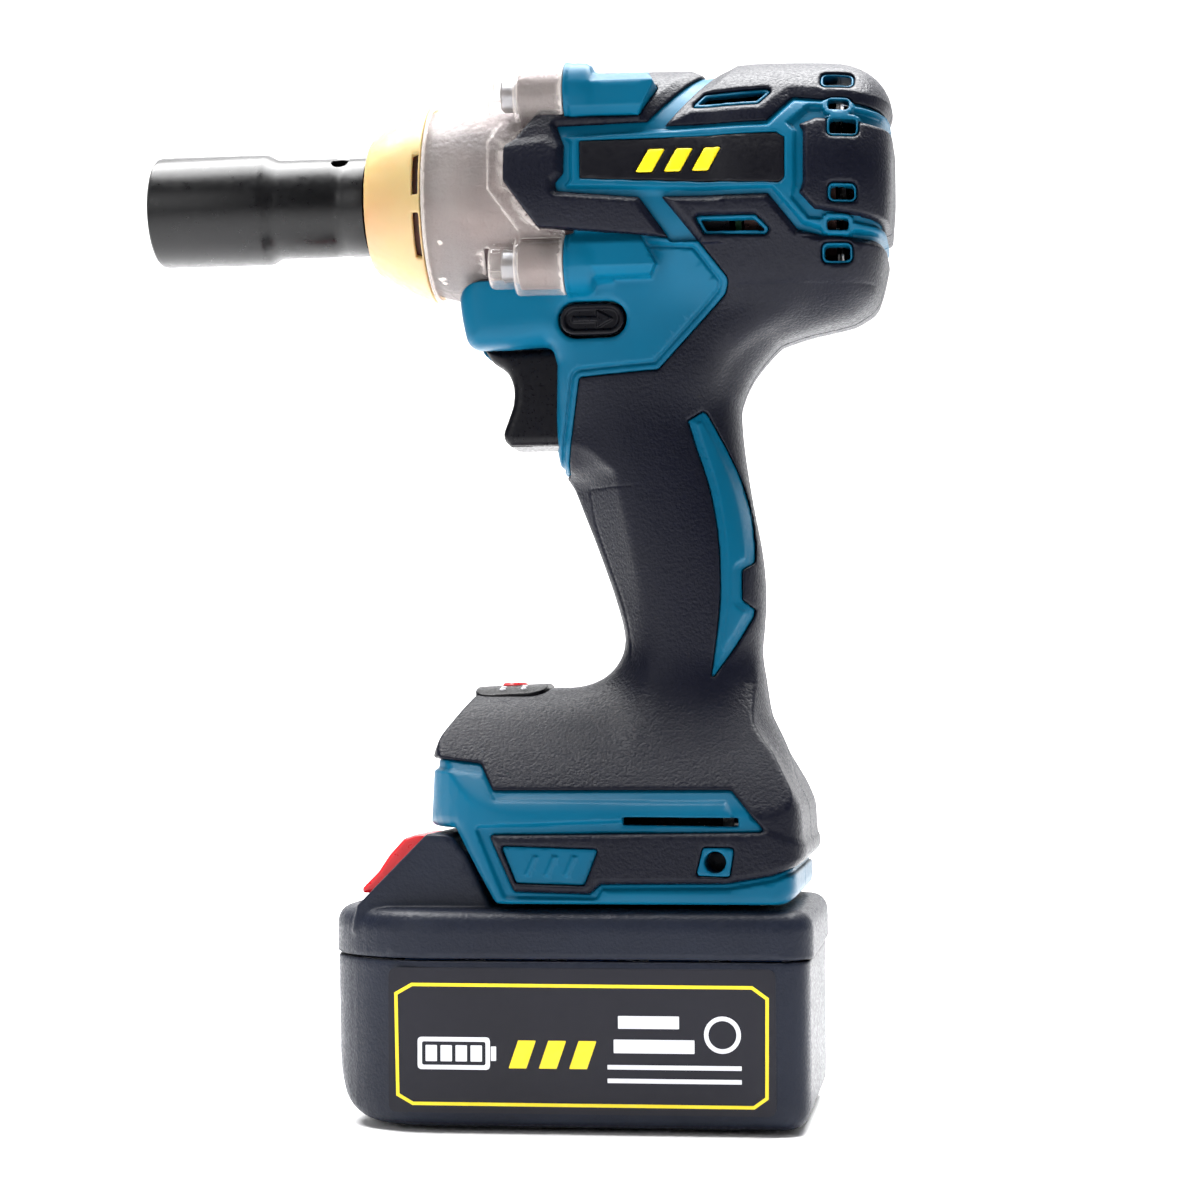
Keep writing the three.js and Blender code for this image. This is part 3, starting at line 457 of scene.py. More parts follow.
THROAT_PANEL = rounded([(-40, 204.6), (-2.6, 204.5), (3, 204), (27, 201.6), (33, 201.1), (39.9, 192.3),
                        (39, 189.2), (23.2, 172.4), (4.6, 171.1), (0.9, 149.6), (-6, 147), (-40, 147)],
                       [0, 0.5, 0.5, 0.5, 2, 2.5, 2.5, 1, 0.8, 0, 0, 0])
UPPER_SLOT = rounded([(31.4, 231.6), (47, 231.9), (49.9, 235), (48.9, 236), (34.5, 235.4)], 0.7)
LOWER_SLOT = rounded([(32.4, 206.3), (46.4, 206.1), (49.6, 203), (48.8, 201.7), (34.7, 202.1)], 0.7)
# Vents, as x0, x1, z0, z1
VENTS = [(61.5, 67.9, 236.5, 239.4), (62.8, 67.5, 229.9, 232.5), (63.2, 69.2, 223.9, 227.6),
         (63.4, 68.7, 208.9, 212), (62.5, 67.4, 202.3, 204.9), (61.8, 67.6, 195.8, 199.1)]
INSERT = curve([(29.6, 160.7), (31.4, 154.7), (34.5, 144.7), (36.4, 133.3), (36.8, 122), (36.1, 113),
                (34.6, 102)])
INSERT += curve([(35.2, 101.6), (40.2, 108.9), (43.8, 115.2)]) + [(44.3, 117.2), (41.6, 119.3), (41.6, 126.3)]
INSERT += curve([(44.1, 128), (44.2, 131.9), (43.3, 139.1), (41.3, 146.9), (38.2, 154.2), (33.9, 162.4)])
INSERT += [(33, 162.9)]
FOOT_TEAL = [(-40, 83.3), (-25, 83.1), (-17.1, 82.1), (-13.6, 76.1), (40.3, 76.1), (48.2, 66.9), (-14, 66.3),
             (-8.2, 53.6), (8.9, 53.1), (11.3, 55.3), (39.7, 55.5), (50, 57.3), (62, 62), (62, 45), (-40, 45)]
FOOT_RAISED = [(-40, 81.2), (-26.2, 81.1), (-16, 80), (-12.9, 74.2), (39.4, 73.7), (42.6, 68.2),
               (15.9, 69), (-16.9, 67.8), (-10.3, 52.6), (10.3, 52.3), (11.6, 54.4), (40, 54.6),
               (50, 56.4), (62, 61), (62, 45), (-40, 45)]
BADGE = [(-11.2, 63.9), (11, 63.2), (7.8, 55), (-7.7, 55.5)]
HOOK_SQUARE = rounded([(34.4, 63.6), (41.4, 63.5), (40.4, 57), (32.8, 57.3)], 0.8)
DARK_BAR = [(16.3, 70.3), (42.2, 70.1), (42.2, 68.1), (16.3, 68.5)]

channel = body.side(CHANNEL)
ridge = body.side(RIDGE)
plate = body.side(rounded(PLATE, 0.6))
throat_panel = body.side(THROAT_PANEL)
rear_block = body.side(REAR_BLOCK)
slots = join(body.side(UPPER_SLOT), body.side(LOWER_SLOT))
vents = join(*(body.side(rounded([(a, c), (b, c), (b, d), (a, d)], 0.9)) for a, b, c, d in VENTS))
insert = body.side(INSERT)
foot_teal = body.side(rounded(FOOT_TEAL, 0.7))
foot_raised = body.side(rounded(FOOT_RAISED, 0.7))
badge = body.side(rounded(BADGE, 0.7))
hook_square = body.side(HOOK_SQUARE)
dark_bar = body.side(DARK_BAR)

# Where the hard teal plastic reaches the outside
teal = join(channel, throat_panel, slots, vents - 0.6, insert, foot_teal, badge, hook_square)

# Depth of the overmould below the outer shape: chamfers beside the channels, and shallow lines
on_block = np.clip(-body.side(BLOCK) / 1.8, 0, 1)
upper = (z > 226).astype(np.float32) * (x > 20)
chamfer_width = np.where(rear_block < 0, 0.9, np.where(upper > 0, 2.9, 1.6)).astype(np.float32)
black_depth = 1.25 * slope(channel, chamfer_width)
black_depth = black_depth - 0.7 * on_block * (z > 200)
black_depth = black_depth + 0.5 * slope(slots, 0.8) + 0.35 * slope(vents - 0.6, 0.6)
foot_chamfer = np.where(z < 67.5, 0.75 * slope(foot_teal, 1.2), 0.35 * slope(foot_teal, 0.6))
black_depth = black_depth + foot_chamfer * (z < 90)
foot_panel = body.side([(-30, 40), (-30, 67.6), (47, 67.9), (70, 60), (70, 40)])
black_depth = black_depth - 0.5 * np.clip(-foot_panel / 0.8, 0, 1)
rear_line = body.side([(-20, 190.9), (90, 190.9), (90, 100), (-20, 100)])
black_depth = black_depth + groove(rear_line, 0, 0.8, 0.2) * ((x > 42) & (x < 73))
front_line = curve([(5.7, 146), (6.8, 138.5), (8.7, 132.5), (11.4, 125), (13.5, 119), (15.1, 112),
                    (15.6, 106)], 3)
front_line = body.side(front_line + [(30, 106), (30, 146)])
black_depth = black_depth + groove(front_line, 0, 0.7, 0.35) * ((x < 17) & (z < 146) & (z > 106))

# Depth of the teal surface below the outer shape
raised = np.clip(-ridge / 0.6, 0, 1)
teal_depth = 0.35 + groove(-throat_panel, 1.8, 1.3, 0.8)
throat_rise = along([(181, 0), (186, 0), (191, 0.3), (197, 1), (203, 1)], z)
teal_depth = teal_depth + 1.65 * throat_rise * np.clip((28 - x) / 8, 0, 1)
in_channel = SKIN - 1.25 * raised + 1.1 * np.clip(-plate / 0.3, 0, 1)
teal_depth = np.where(channel < 0.3, in_channel, teal_depth)
teal_depth = np.where(slots < 0.3, 0.95, teal_depth)
teal_depth = np.where(vents < 1.2, 0.55, teal_depth)
inset_step = np.clip((-insert - 0.9) / 0.5, 0, 1)
teal_depth = np.where(insert < 0.4, 0.55 - 0.65 * inset_step + groove(-insert, 1.5, 1.1, 0.5), teal_depth)
foot_step = np.clip(-foot_raised / 0.6, 0, 1)
foot_depth = 1.35 - 1.0 * foot_step
teal_depth = np.where((z < 90) & (foot_teal < 0.4), foot_depth, teal_depth)
ribs = np.abs(((x - 0.45 * (z - 59)) + 6.6) % 4.4 - 2.2) - 0.8
ribs = meet(ribs, np.abs(z - 59.4) - 2.4, np.abs(x - 0.45 * (z - 59)) - 6.6)
teal_depth = np.where(badge < 0.4, 0.45 - 0.45 * np.clip(-ribs / 0.4, 0, 1), teal_depth)
teal_depth = np.where(hook_square < 0.4, -0.35, teal_depth)

# Housing screws, as (x, z)
SCREWS = [(45.5, 186.5), (36, 170), (28, 112), (-8, 91), (44, 82), (-11, 184.5)]

# Screw bosses beside the nose, from collar to pointed tip
bosses = []
for side in (1, -1):
    center_z = AXIS_Z + (UPPER_LIFT if side > 0 else LOWER_LIFT)
    tube = body.around_x(-SLEEVE_SIDE, center_z)
    round_part = tube - along([(1, 7), (6.6, 7), (8.6, 6.2), (11, 4.4), (26, 4.4)], x)
    round_part = meet(round_part, 2.45 - x, x - 13)
    ring = meet(tube - 7.3, 2.45 - x, x - 3.4)
    v = side * (z - (center_z - 1.3 * side))
    u = y + 22.9
    prism = meet(np.abs(u) - 4.9, np.abs(v) - 4.9, (np.abs(u) + np.abs(v)) * 0.7071 - 5.4)
    prism = meet(prism, 4 - x, (x - 22.2) * 0.8 - v * 0.42, (x - 24.6) * 0.8 + v * 0.42)
    bosses.append(join(soft_join(round_part, prism, 1.2), ring))
bosses = join(*bosses)

posts = join(*(body.disc(px, pz, 4.8) for px, pz in SCREWS))
post_holes = join(*(body.disc(px, pz, 2.1) for px, pz in SCREWS))
screw_heads = join(*(body.disc(px, pz, 3.9) for px, pz in SCREWS))
# The screws go in from the right-hand side, and end inside the left half
screw_room = {"left": meet(post_holes, -8.5 - y),
              "right": join(post_holes, meet(screw_heads, y + 11))}
seam = y + 0.08
inside = meet(shape + 4.4, 66.4 - z)
inside = join(inside, meet(body.around_x() - 25.6, x - 66))
inside = meet(inside, -posts)
nose_cut = meet(nose_room, x - 3)

shell_field = join(shape + (SKIN + 0.05), soft_meet(shape + teal_depth, teal + 0.05, 0.35))
shell_field = soft_join(shell_field, bosses, 1)
lever_rim = np.clip(1 - (lever_room - 0.1) / 0.9, 0, 1) * (lever_room > -3)
shell_field = shell_field + 0.45 * lever_rim
shell_field = soft_meet(shell_field, -join(openings, nose_cut, lever_room), 0.4)
shell_field = meet(shell_field, -dark_bar)
shell_field = meet(shell_field, -inside, -vents, -(slots + 0.85), seam)
skin_field = soft_meet(shape + black_depth, 0.06 - teal, 0.6)
skin_field = meet(skin_field, -(shape + SKIN), -(bosses - 0.12), seam)
skin_field = soft_meet(skin_field, -join(openings, nose_cut), 0.4)
skin_field = meet(skin_field, -meet(body.around_x() - 26.3, x - 70))

DETAIL = 0.012  # how far flat areas are merged into larger faces


def both_sides(label, field, node, adaptivity=DETAIL):
    pieces = []
    for side in ("left", "right"):
        piece = carve(f"{label}_{side}", body, meet(field, -screw_room[side]), adaptivity, side == "right")
        pieces.append(piece)
        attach(piece, "housing")
        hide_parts(f"{node}_{side}")
    return pieces


shells = both_sides("shell", shell_field, "housing", 3 * DETAIL)
skins = both_sides("grip_skin", skin_field, "overmould")

# Name plates: plain dark plates with three slanted yellow bars
plate_field = meet(soft_meet(shape + 0.95, plate + 0.15, 0.3), -(shape + 1.7))
bar_lean = x - 0.55 * (z - 219)
bars = join(*(np.abs(bar_lean - middle) - 1.9 for middle in (22.6, 29, 35.4)))
bars = meet(bars * 0.876, np.abs(z - 219) - 2.7)
bar_field = meet(shape + 0.8, -(shape + 1.7), bars)
plate_field = meet(plate_field, 0.05 - bars)
plates = both_sides("name_plate", plate_field, "label_plate")
plate_bars = []
for side in ("left", "right"):
    piece = carve(f"plate_bars_{side}", body, bar_field, DETAIL, side == "right")
    plate_bars.append(piece)
    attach(piece, "housing")
del head, handle, throat, foot, facet, teal, teal_depth, black_depth, shell_field, skin_field, inside


def place(piece, rides, node=None):
    """Put a piece on its body and the CAD node that it stands for."""
    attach(piece, rides)
    if node:
        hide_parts(*([node] if isinstance(node, str) else node))
    return piece


# ---- Nose: clear cover, its ring, and the hammer case inside ----
nose = Grid((-48, -31.5, 183), (24.5, 31.5, 246), 0.42)
x, y, z = nose.x, nose.y, nose.z
# Case screws round the nose, as (y, z)
EARS = [(side, AXIS_Z + lift) for lift in (UPPER_LIFT, LOWER_LIFT) for side in (-SLEEVE_SIDE, SLEEVE_SIDE)]

step_side = nose.side([(-9.5, 236), (-16, 225.1), (-15.7, 213.6), (-7.6, 202.2), (-7.6, 150), (10, 150),
                       (10, 260), (-9.5, 260)])
cover_step = np.clip(-step_side / 0.45, 0, 1)
cover_radius = along([(-33, 22.9), (-30.6, 24.3), (-26, 25.7), (-22, 26.4), (-16, 26.7), (3, 26.8)], x)
cover = nose.around_x() - cover_radius - 0.7 * cover_step
sleeves = bores = 99  # far from everything until the first one is joined
for ey, ez in EARS:
    tube = nose.around_x(ey, ez)
    large = soft_meet(tube - 7, -9.4 - x, 1)
    small = soft_meet(tube - 5.4, -15.6 - x, 1.6)
    sleeves = join(sleeves, meet(join(large, small), x - 2.25))
    bores = join(bores, meet(tube - 5.75, -8.3 - x), meet(tube - 4.25, -17 - x))
cover = soft_join(cover, sleeves, 1.6)
cover = meet(cover, -31.6 - x, x - 2.25)
rear_edge = nose.side([(-40, 260), (-6.4, 260), (-6.4, 236.5), (-3.4, 233), (-9, 225.4), (-11, 223.5),
                       (-11, 215.2), (-2.9, 204), (2.2, 203.4), (2.2, 170), (-40, 170)])
cover = meet(cover, -(nose.around_x() - cover_radius + 1.5), -bores)
# Behind the edge of the housing's panels the wall steps down, under them
under = nose.around_x() - 26.9
cover = meet(cover, join(rear_edge, under, sleeves))

case_radius = along([(-45, 13.9), (-44.4, 14), (-37.9, 18.6), (-30.6, 22.1), (-22, 24.2), (-15, 24.5),
                     (22, 24.5)], x)
hammer_case = soft_meet(nose.around_x() - case_radius, -44.4 - x, 1)
for ey, ez in EARS:
    ear = meet(nose.around_x(ey * SCREW_SIDE / SLEEVE_SIDE, ez) - 5.5, -8.4 - x, x - 1.8)
    arm = meet(nose.around_x(ey * 0.86, AXIS_Z + (ez - AXIS_Z) * 0.86) - 5, -8.2 - x, x - 1.6)
    hammer_case = soft_join(hammer_case, join(ear, arm), 1.5)
    hammer_case = meet(hammer_case, -meet(nose.around_x(ey * SCREW_SIDE / SLEEVE_SIDE, ez) - 2.2, -12 - x))
hammer_case = meet(hammer_case, -(nose.around_x() - np.minimum(case_radius - 3, 21.6)), x - 22)
hammer_case = meet(hammer_case, -(nose.around_x() - 11.9))
ring_outer = along([(-47.4, 14.6), (-46.8, 15.4), (-45.9, 16.4), (-44.8, 17.2), (-41.5, 19.2),
                    (-37.9, 21), (-34.5, 22.6), (-31.6, 23.8)], x)
ring_inner = along([(-48, 12.3), (-44.8, 12.4), (-44.5, 14.3), (-38, 19.1), (-31, 22.4), (-28, 22.4)], x)
ring = meet(nose.around_x() - ring_outer, ring_inner - nose.around_x(), -46.8 - x, x + 31.85)
turn = np.degrees(np.arctan2(z - AXIS_Z, np.abs(y)))
slits = meet(np.abs(x + 33.1) - 0.75, join(np.abs(turn - 9) - 12.5, np.abs(turn + 28) - 14) * 0.35)
ring = soft_meet(ring, -slits, 0.3)
place(carve("clear_cover", nose, cover, 0.006), "housing", "hammer_case_cover")
place(carve("nose_casting", nose, hammer_case, 0.02), "housing", "hammer_case")
place(carve("front_ring", nose, ring, 0.006), "housing", "nose_ring")


def lobes(angle, position, radius):
    """The slightly six-lobed rim of a case screw's head."""
    return radius * (1 + 0.05 * math.cos(6 * angle)) if 2 < radius < 4 and position < -9.4 else radius


screw_profile = [(-10.9, 0), (-10.9, 1.9), (-12.4, 2.05), (-12.6, 2.5), (-12.6, 3.3), (-12.2, 3.7),
                 (-9.4, 3.75), (-9.3, 4.0), (-8.9, 4.0), (-8.9, 1.9), (15.4, 1.9), (16, 1.5), (16, 0)]
for number, (ey, ez) in enumerate(EARS, 1):
    center = (0, ey * SCREW_SIDE / SLEEVE_SIDE, ez)
    piece = lathe(f"nose_screw_{number}", screw_profile, center, shape=lobes, steps=48, close=False)
    place(piece, "housing", f"case_screw_{number}")


# ---- Socket ----
HEX_HOLE, SQUARE_HOLE = 11.1, 9.2  # radii that mark the two holes in the profile
HEX_FLATS, SQUARE_FLATS = 19.3, 13.2


def socket_section(angle, position, radius):
    """The socket's two holes: a hexagon in front, and a square for the drive behind it."""
    if radius == HEX_HOLE:
        return min(HEX_FLATS / 2 / math.cos((angle + math.pi / 6) % (math.pi / 3) - math.pi / 6), 10.9)
    if radius == SQUARE_HOLE:
        return min(SQUARE_FLATS / 2 / math.cos((angle + math.pi / 4) % (math.pi / 2) - math.pi / 4), 8.9)
    return radius


socket_profile = [(-99.9, HEX_HOLE), (-76.6, HEX_HOLE), (-76.6, 8.6), (-66.4, 8.6), (-66.4, SQUARE_HOLE),
                  (-47.9, SQUARE_HOLE),
                  (-47.5, 9.4), (-47.5, 11.2), (-48, 11.75), (-52.6, 11.8), (-52.9, 11.62),
                  (-55.9, 11.62), (-56.2, 11.8)]
socket_profile += [(-69.4, 11.8), (-70.6, 11.95), (-71.6, 12.35), (-72.4, 12.9), (-73, 13.1), (-73.8, 13.2),
                   (-98.6, 13.2), (-99.6, 13), (-100.1, 12.5), (-100.3, 12), (-100.3, 11.6)]


socket = lathe("socket_body", socket_profile, (0, 0, AXIS_Z), shape=socket_section, steps=144)
pin = lathe("pin_cutter", [(-20, 0), (-20, 2.1), (20, 2.1), (20, 0)], (0, 0, 0), "z", steps=32, close=False)
pin_place = Matrix.Translation((-54.5 * MM, 0, AXIS_Z * MM))
pin.matrix_world = pin_place @ Matrix.Rotation(math.radians(33), 4, "X")
bpy.context.view_layer.update()
drill(socket, pin)
place(socket, "socket", "socket")

# ---- Trigger and direction lever ----
local = Grid((-21, -9.8, 154.5), (5, 9.8, 180.5), 0.3)
x, y, z = local.x, local.y, local.z
pad = curve([(-19.3, 179.2), (-17.4, 176.3), (-14.2, 174), (-12.6, 170.6), (-12.6, 166.4), (-13.8, 162.6),
             (-14.9, 159.4), (-14.5, 157.5)], 5) + [(-13.2, 156.2), (4, 156.2), (4, 179.2)]
pad = soft_meet(local.side(pad), np.abs(y) - 9.1, 2.6)
pad = pad + groove(np.abs(np.abs(y) - 7.2), 0, 0.9, 0.25) * (x < -8)
place(carve("finger_trigger", local, pad, 0.01), "trigger", "trigger")

local = Grid((-1, -20.6, 179), (17, 20.6, 190), 0.2)
x, y, z = local.x, local.y, local.z
lever = local.side(oval_outline(7.9, 184.3, 7.5, 3.6))
arrow = join(local.side([(3.4, 183.8), (9.4, 183.8), (9.4, 184.8), (3.4, 184.8)]),
             local.side([(9, 182.3), (12.6, 184.3), (9, 186.3)]))
dish = np.clip(-(lever + 0.9) / 0.5, 0, 1)
dish = 0.75 * dish - 0.5 * np.clip((0.25 - arrow) / 0.3, 0, 1)
lever = soft_meet(lever, np.abs(y) - 20 + dish, 0.6)
notch = join(meet(np.abs(y) - 2, np.abs(x - 9.2) - 3, 180.9 - z),
             meet(np.abs(y) - 4.4, 10.6 - x, 180.9 - z))
place(carve("turn_lever", local, meet(lever, -notch), 0.006), "direction_lever", "direction_lever")

# ---- Work light, mode panel and mode button ----
lens = [(-17, 0), (-17, 2.9), (-22.9, 2.9), (-23.5, 2.7), (-23.9, 2.1), (-24.2, 1.2), (-24.3, 0)]
place(lathe("light_lens", lens, (0, 0, 184.2), steps=40, close=False), "housing", "work_light")

local = Grid((-23, -10.8, 96), (-4, 10.8, 101), 0.25)
x, y, z = local.x, local.y, local.z
panel_top = 100.3 + (x + 13.5) * 0.04 - 0.022 * y * y
well = np.hypot(x + 13.5, y)
mode = local.plan(rounded([(-22.1, -10.1), (-4.9, -10.1), (-4.9, 10.1), (-22.1, 10.1)], 5, 8))
mode = soft_meet(mode, meet(z - panel_top, 96.7 - z), 0.5)
mode = meet(mode, -(well - 3.3))
place(carve("mode_plate", local, mode, 0.006), "housing", "mode_panel")
lamps = []
for number, lamp_y in enumerate((-6.9, -5.2, 5.2, 6.9), 1):
    for row, lamp_x in enumerate((-15.4, -10.4)):
        top = 100.3 + (lamp_x + 13.5) * 0.04 - 0.022 * lamp_y ** 2
        dome = [(top - 0.5, 0), (top - 0.5, 0.75), (top + 0.05, 0.75), (top + 0.25, 0.55), (top + 0.32, 0)]
        lamp = lathe(f"mode_lamp_{number}_{row}", dome, (lamp_x, lamp_y, 0), "z", steps=16, close=False)
        lamps.append(place(lamp, "housing"))
knob = [(97.6, 0), (97.6, 3), (100.3, 3), (100.7, 2.7), (100.85, 2.2), (100.75, 1.2), (100.7, 0)]
place(lathe("mode_knob", knob, (-13.5, 0, 0), "z", steps=40, close=False), "mode_button", "mode_button")

# ---- Battery ----
pack = Grid((-60, -39.2, -0.8), (60, 39.2, 66.6), 0.5)
x, y, z = pack.x, pack.y, pack.z


def pack_plan(depth):
    return pack.plan(plan_outline(-53.7 + depth, 58.5 - depth, 38 - depth, 28 - depth, 8 - depth))


outside = pack_plan(0)
ends = pack.side(rounded([(-53.8, 90), (-53.8, 36), (-52.2, 0), (58.5, 0), (58.5, 90)], [0, 8, 25, 7, 0], 10))
tub = soft_meet(soft_meet(outside, -z, 6.5), ends, 3)
low_half = soft_meet(tub, z - 38.3, 0.5)
low_half = meet(low_half, -meet(pack_plan(2.4), tub + 2.4))
deck = soft_meet(soft_meet(outside, z - 49.6, 5), 38.7 - z, 0.5)
block_side = rounded([(-46.6, 44), (-12.6, 44), (-14.2, 49), (-20.4, 62), (-24, 66.2), (-29.4, 66.3),
                      (-45.6, 50)], [0, 0, 0, 3, 4, 1, 0])
block = soft_meet(pack.side(block_side), np.abs(y) - 29.8, 1.2)
deck = soft_join(deck, block, 1)
rail = join(meet(np.abs(y) - 22, z - 56), meet(np.abs(y) - 26, np.abs(z - 59) - 3))
rail = meet(rail, x - 46, -30 - x, 45 - z)
deck = join(deck, rail)
hollow = join(meet(pack_plan(2.4), z - 47.2), meet(np.abs(y) - 19, z - 59.6, -27 - x, x - 43))
pocket = meet(np.abs(y) - 11.4, -49.6 - x, x + 29.6, 47 - z)
contacts = meet(np.abs(np.abs(y) - 10) - 1.1, 21 - x, 52 - z)
deck = meet(deck, -hollow, -pocket, -contacts)
place(carve("pack_lower", pack, low_half, 0.02), "battery", "battery_case_lower")
place(carve("pack_upper", pack, deck, 0.012), "battery", "battery_case_upper")

local = Grid((-49.5, -11.6, 50.5), (-29.5, 11.6, 66.2), 0.35)
x, y, z = local.x, local.y, local.z
button = local.side(rounded([(-48.4, 51.6), (-48.4, 52.8), (-44.6, 56.6), (-41.9, 60.6), (-38.4, 64.4),
                             (-35.4, 65.4), (-30, 65.4), (-30, 51.6)], [0.6, 0.8, 2, 2, 2, 2, 0, 0]))
button = soft_meet(button, np.abs(y) - 11, 1.2)
ribs = np.abs((z + 0.2) % 2.6 - 1.3) - 0.5
button = button + 0.35 * np.clip(-ribs / 0.35, 0, 1) * (np.abs(y) < 8.5) * (x < -36)
place(carve("release_key", local, button, 0.006), "release_button", "release_button")


# ---- Printed film on both long sides of the battery ----
def film(name, outlines, side, depth, thickness):
    """A flat sheet against the battery's side, with its outlines as (x, z); inner ones are holes."""
    shape_2d = bpy.data.curves.new(name, "CURVE")
    shape_2d.dimensions = "2D"
    shape_2d.fill_mode = "BOTH"
    shape_2d.extrude = thickness / 2 * MM
    for outline in outlines:
        spline = shape_2d.splines.new("POLY")
        spline.points.add(len(outline) - 1)
        for point, (px, pz) in zip(spline.points, outline):
            point.co = (px * MM, pz * MM, 0, 1)
        spline.use_cyclic_u = True
    drawn = bpy.data.objects.new(name + "_drawn", shape_2d)
    scene.collection.objects.link(drawn)
    bpy.context.view_layer.update()
    mesh = bpy.data.meshes.new_from_object(drawn.evaluated_get(bpy.context.evaluated_depsgraph_get()))
    bpy.data.objects.remove(drawn)
    bpy.data.curves.remove(shape_2d)
    middle = -38 - depth - thickness / 2
    mesh.transform(Matrix(((1, 0, 0, 0), (0, 0, -1, middle * MM), (0, 1, 0, 0), (0, 0, 0, 1))))
    if side > 0:
        mesh.transform(Matrix.Diagonal((1, -1, 1, 1)))
        mesh.flip_normals()
    mesh.name = name
    piece = bpy.data.objects.new(name, mesh)
    scene.collection.objects.link(piece)
    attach(piece, "battery")
    return piece


def box_outline(x0, x1, z0, z1, radius, lean=0.0):
    """A box with rounded corners; lean slants its sides towards +X."""
    points = [(x0, z0), (x1, z0), (x1 + lean * (z1 - z0), z1), (x0 + lean * (z1 - z0), z1)]
    return rounded(points, radius)


def inset(points, amount):
    """A convex outline drawn this much further in."""
    middle = sum((Vector(p) for p in points), Vector((0, 0))) / len(points)
    lines = []
    for a, b in zip(points, points[1:] + points[:1]):
        a, b = Vector(a), Vector(b)
        normal = Vector((a.y - b.y, b.x - a.x)).normalized()
        normal = normal if normal.dot(middle - a) > 0 else -normal
        lines.append((a + normal * amount, (b - a).normalized()))
    out = []
    for (p, d), (q, e) in zip(lines[-1:] + lines[:-1], lines):
        t = ((q - p).x * e.y - (q - p).y * e.x) / (d.x * e.y - d.y * e.x)
        out.append(tuple(p + d * t))
    return out


BORDER = [(-35.1, 31.2), (-31.2, 33.4), (45.3, 33.2), (48.9, 30.6), (48.7, 8.4), (45.6, 6.2), (-31, 6.2),
          (-34.7, 8.3)]
BACKING = (0.01, 0.12)  # gap to the case and thickness of the dark film
PRINT = (0.13, 0.03)  # and of the printing on it
dark_films, yellow_films, white_films = [], [], []
for side_name, side in (("left", -1), ("right", 1)):
    backing = box_outline(-36.4, 50.4, 4.6, 36.8, 2)
    dark_films.append(film(f"pack_film_{side_name}", [backing], side, *BACKING))
    yellow_films.append(film(f"film_border_{side_name}", [BORDER, inset(BORDER, 0.75)], side, *PRINT))
    for number, start in enumerate((-9.2, -2.4, 4.4), 1):
        stripe = box_outline(start, start + 4, 14.6, 20.8, 0.2, 0.35)
        yellow_films.append(film(f"film_stripe_{number}_{side_name}", [stripe], side, *PRINT))
    gauge = [box_outline(-29.8, -13.4, 14.2, 21.4, 1), box_outline(-28.8, -14.4, 15.2, 20.4, 0.5)]
    white_films.append(film(f"film_gauge_{side_name}", gauge, side, *PRINT))
    for number, start in enumerate((-28, -24.6, -21.2, -17.8), 1):
        cell = box_outline(start, start + 2.6, 16, 19.6, 0.2)
        white_films.append(film(f"film_cell_{number}_{side_name}", [cell], side, *PRINT))
    tip = box_outline(-13.2, -12, 16.2, 19.4, 0.2)
    white_films.append(film(f"film_tip_{side_name}", [tip], side, *PRINT))
    bars = [(15.4, 29, 23.6, 26.4, 0.2), (14.4, 32.4, 18.2, 21.2, 0.2), (13, 42.8, 14.6, 15.6, 0.1),
            (13, 42.8, 11.6, 12.6, 0.1)]
    for number, (x0, x1, z0, z1, radius) in enumerate(bars, 1):
        bar = box_outline(x0, x1, z0, z1, radius)
        white_films.append(film(f"film_bar_{number}_{side_name}", [bar], side, *PRINT))
    rings = [[(cx + r * math.cos(a), 22.4 + r * math.sin(a)) for a in np.linspace(0, 2 * math.pi, 33)[:-1]]
             for cx, r in ((38.6, 4.1), (38.6, 3.1))]
    white_films.append(film(f"film_ring_{side_name}", rings, side, *PRINT))


# ---- Materials ----
def tint(color):
    """Linear colour from an sRGB hex number."""
    parts = [(color >> shift & 255) / 255 for shift in (16, 8, 0)]
    return [c / 12.92 if c <= 0.04045 else ((c + 0.055) / 1.055) ** 2.4 for c in parts] + [1]


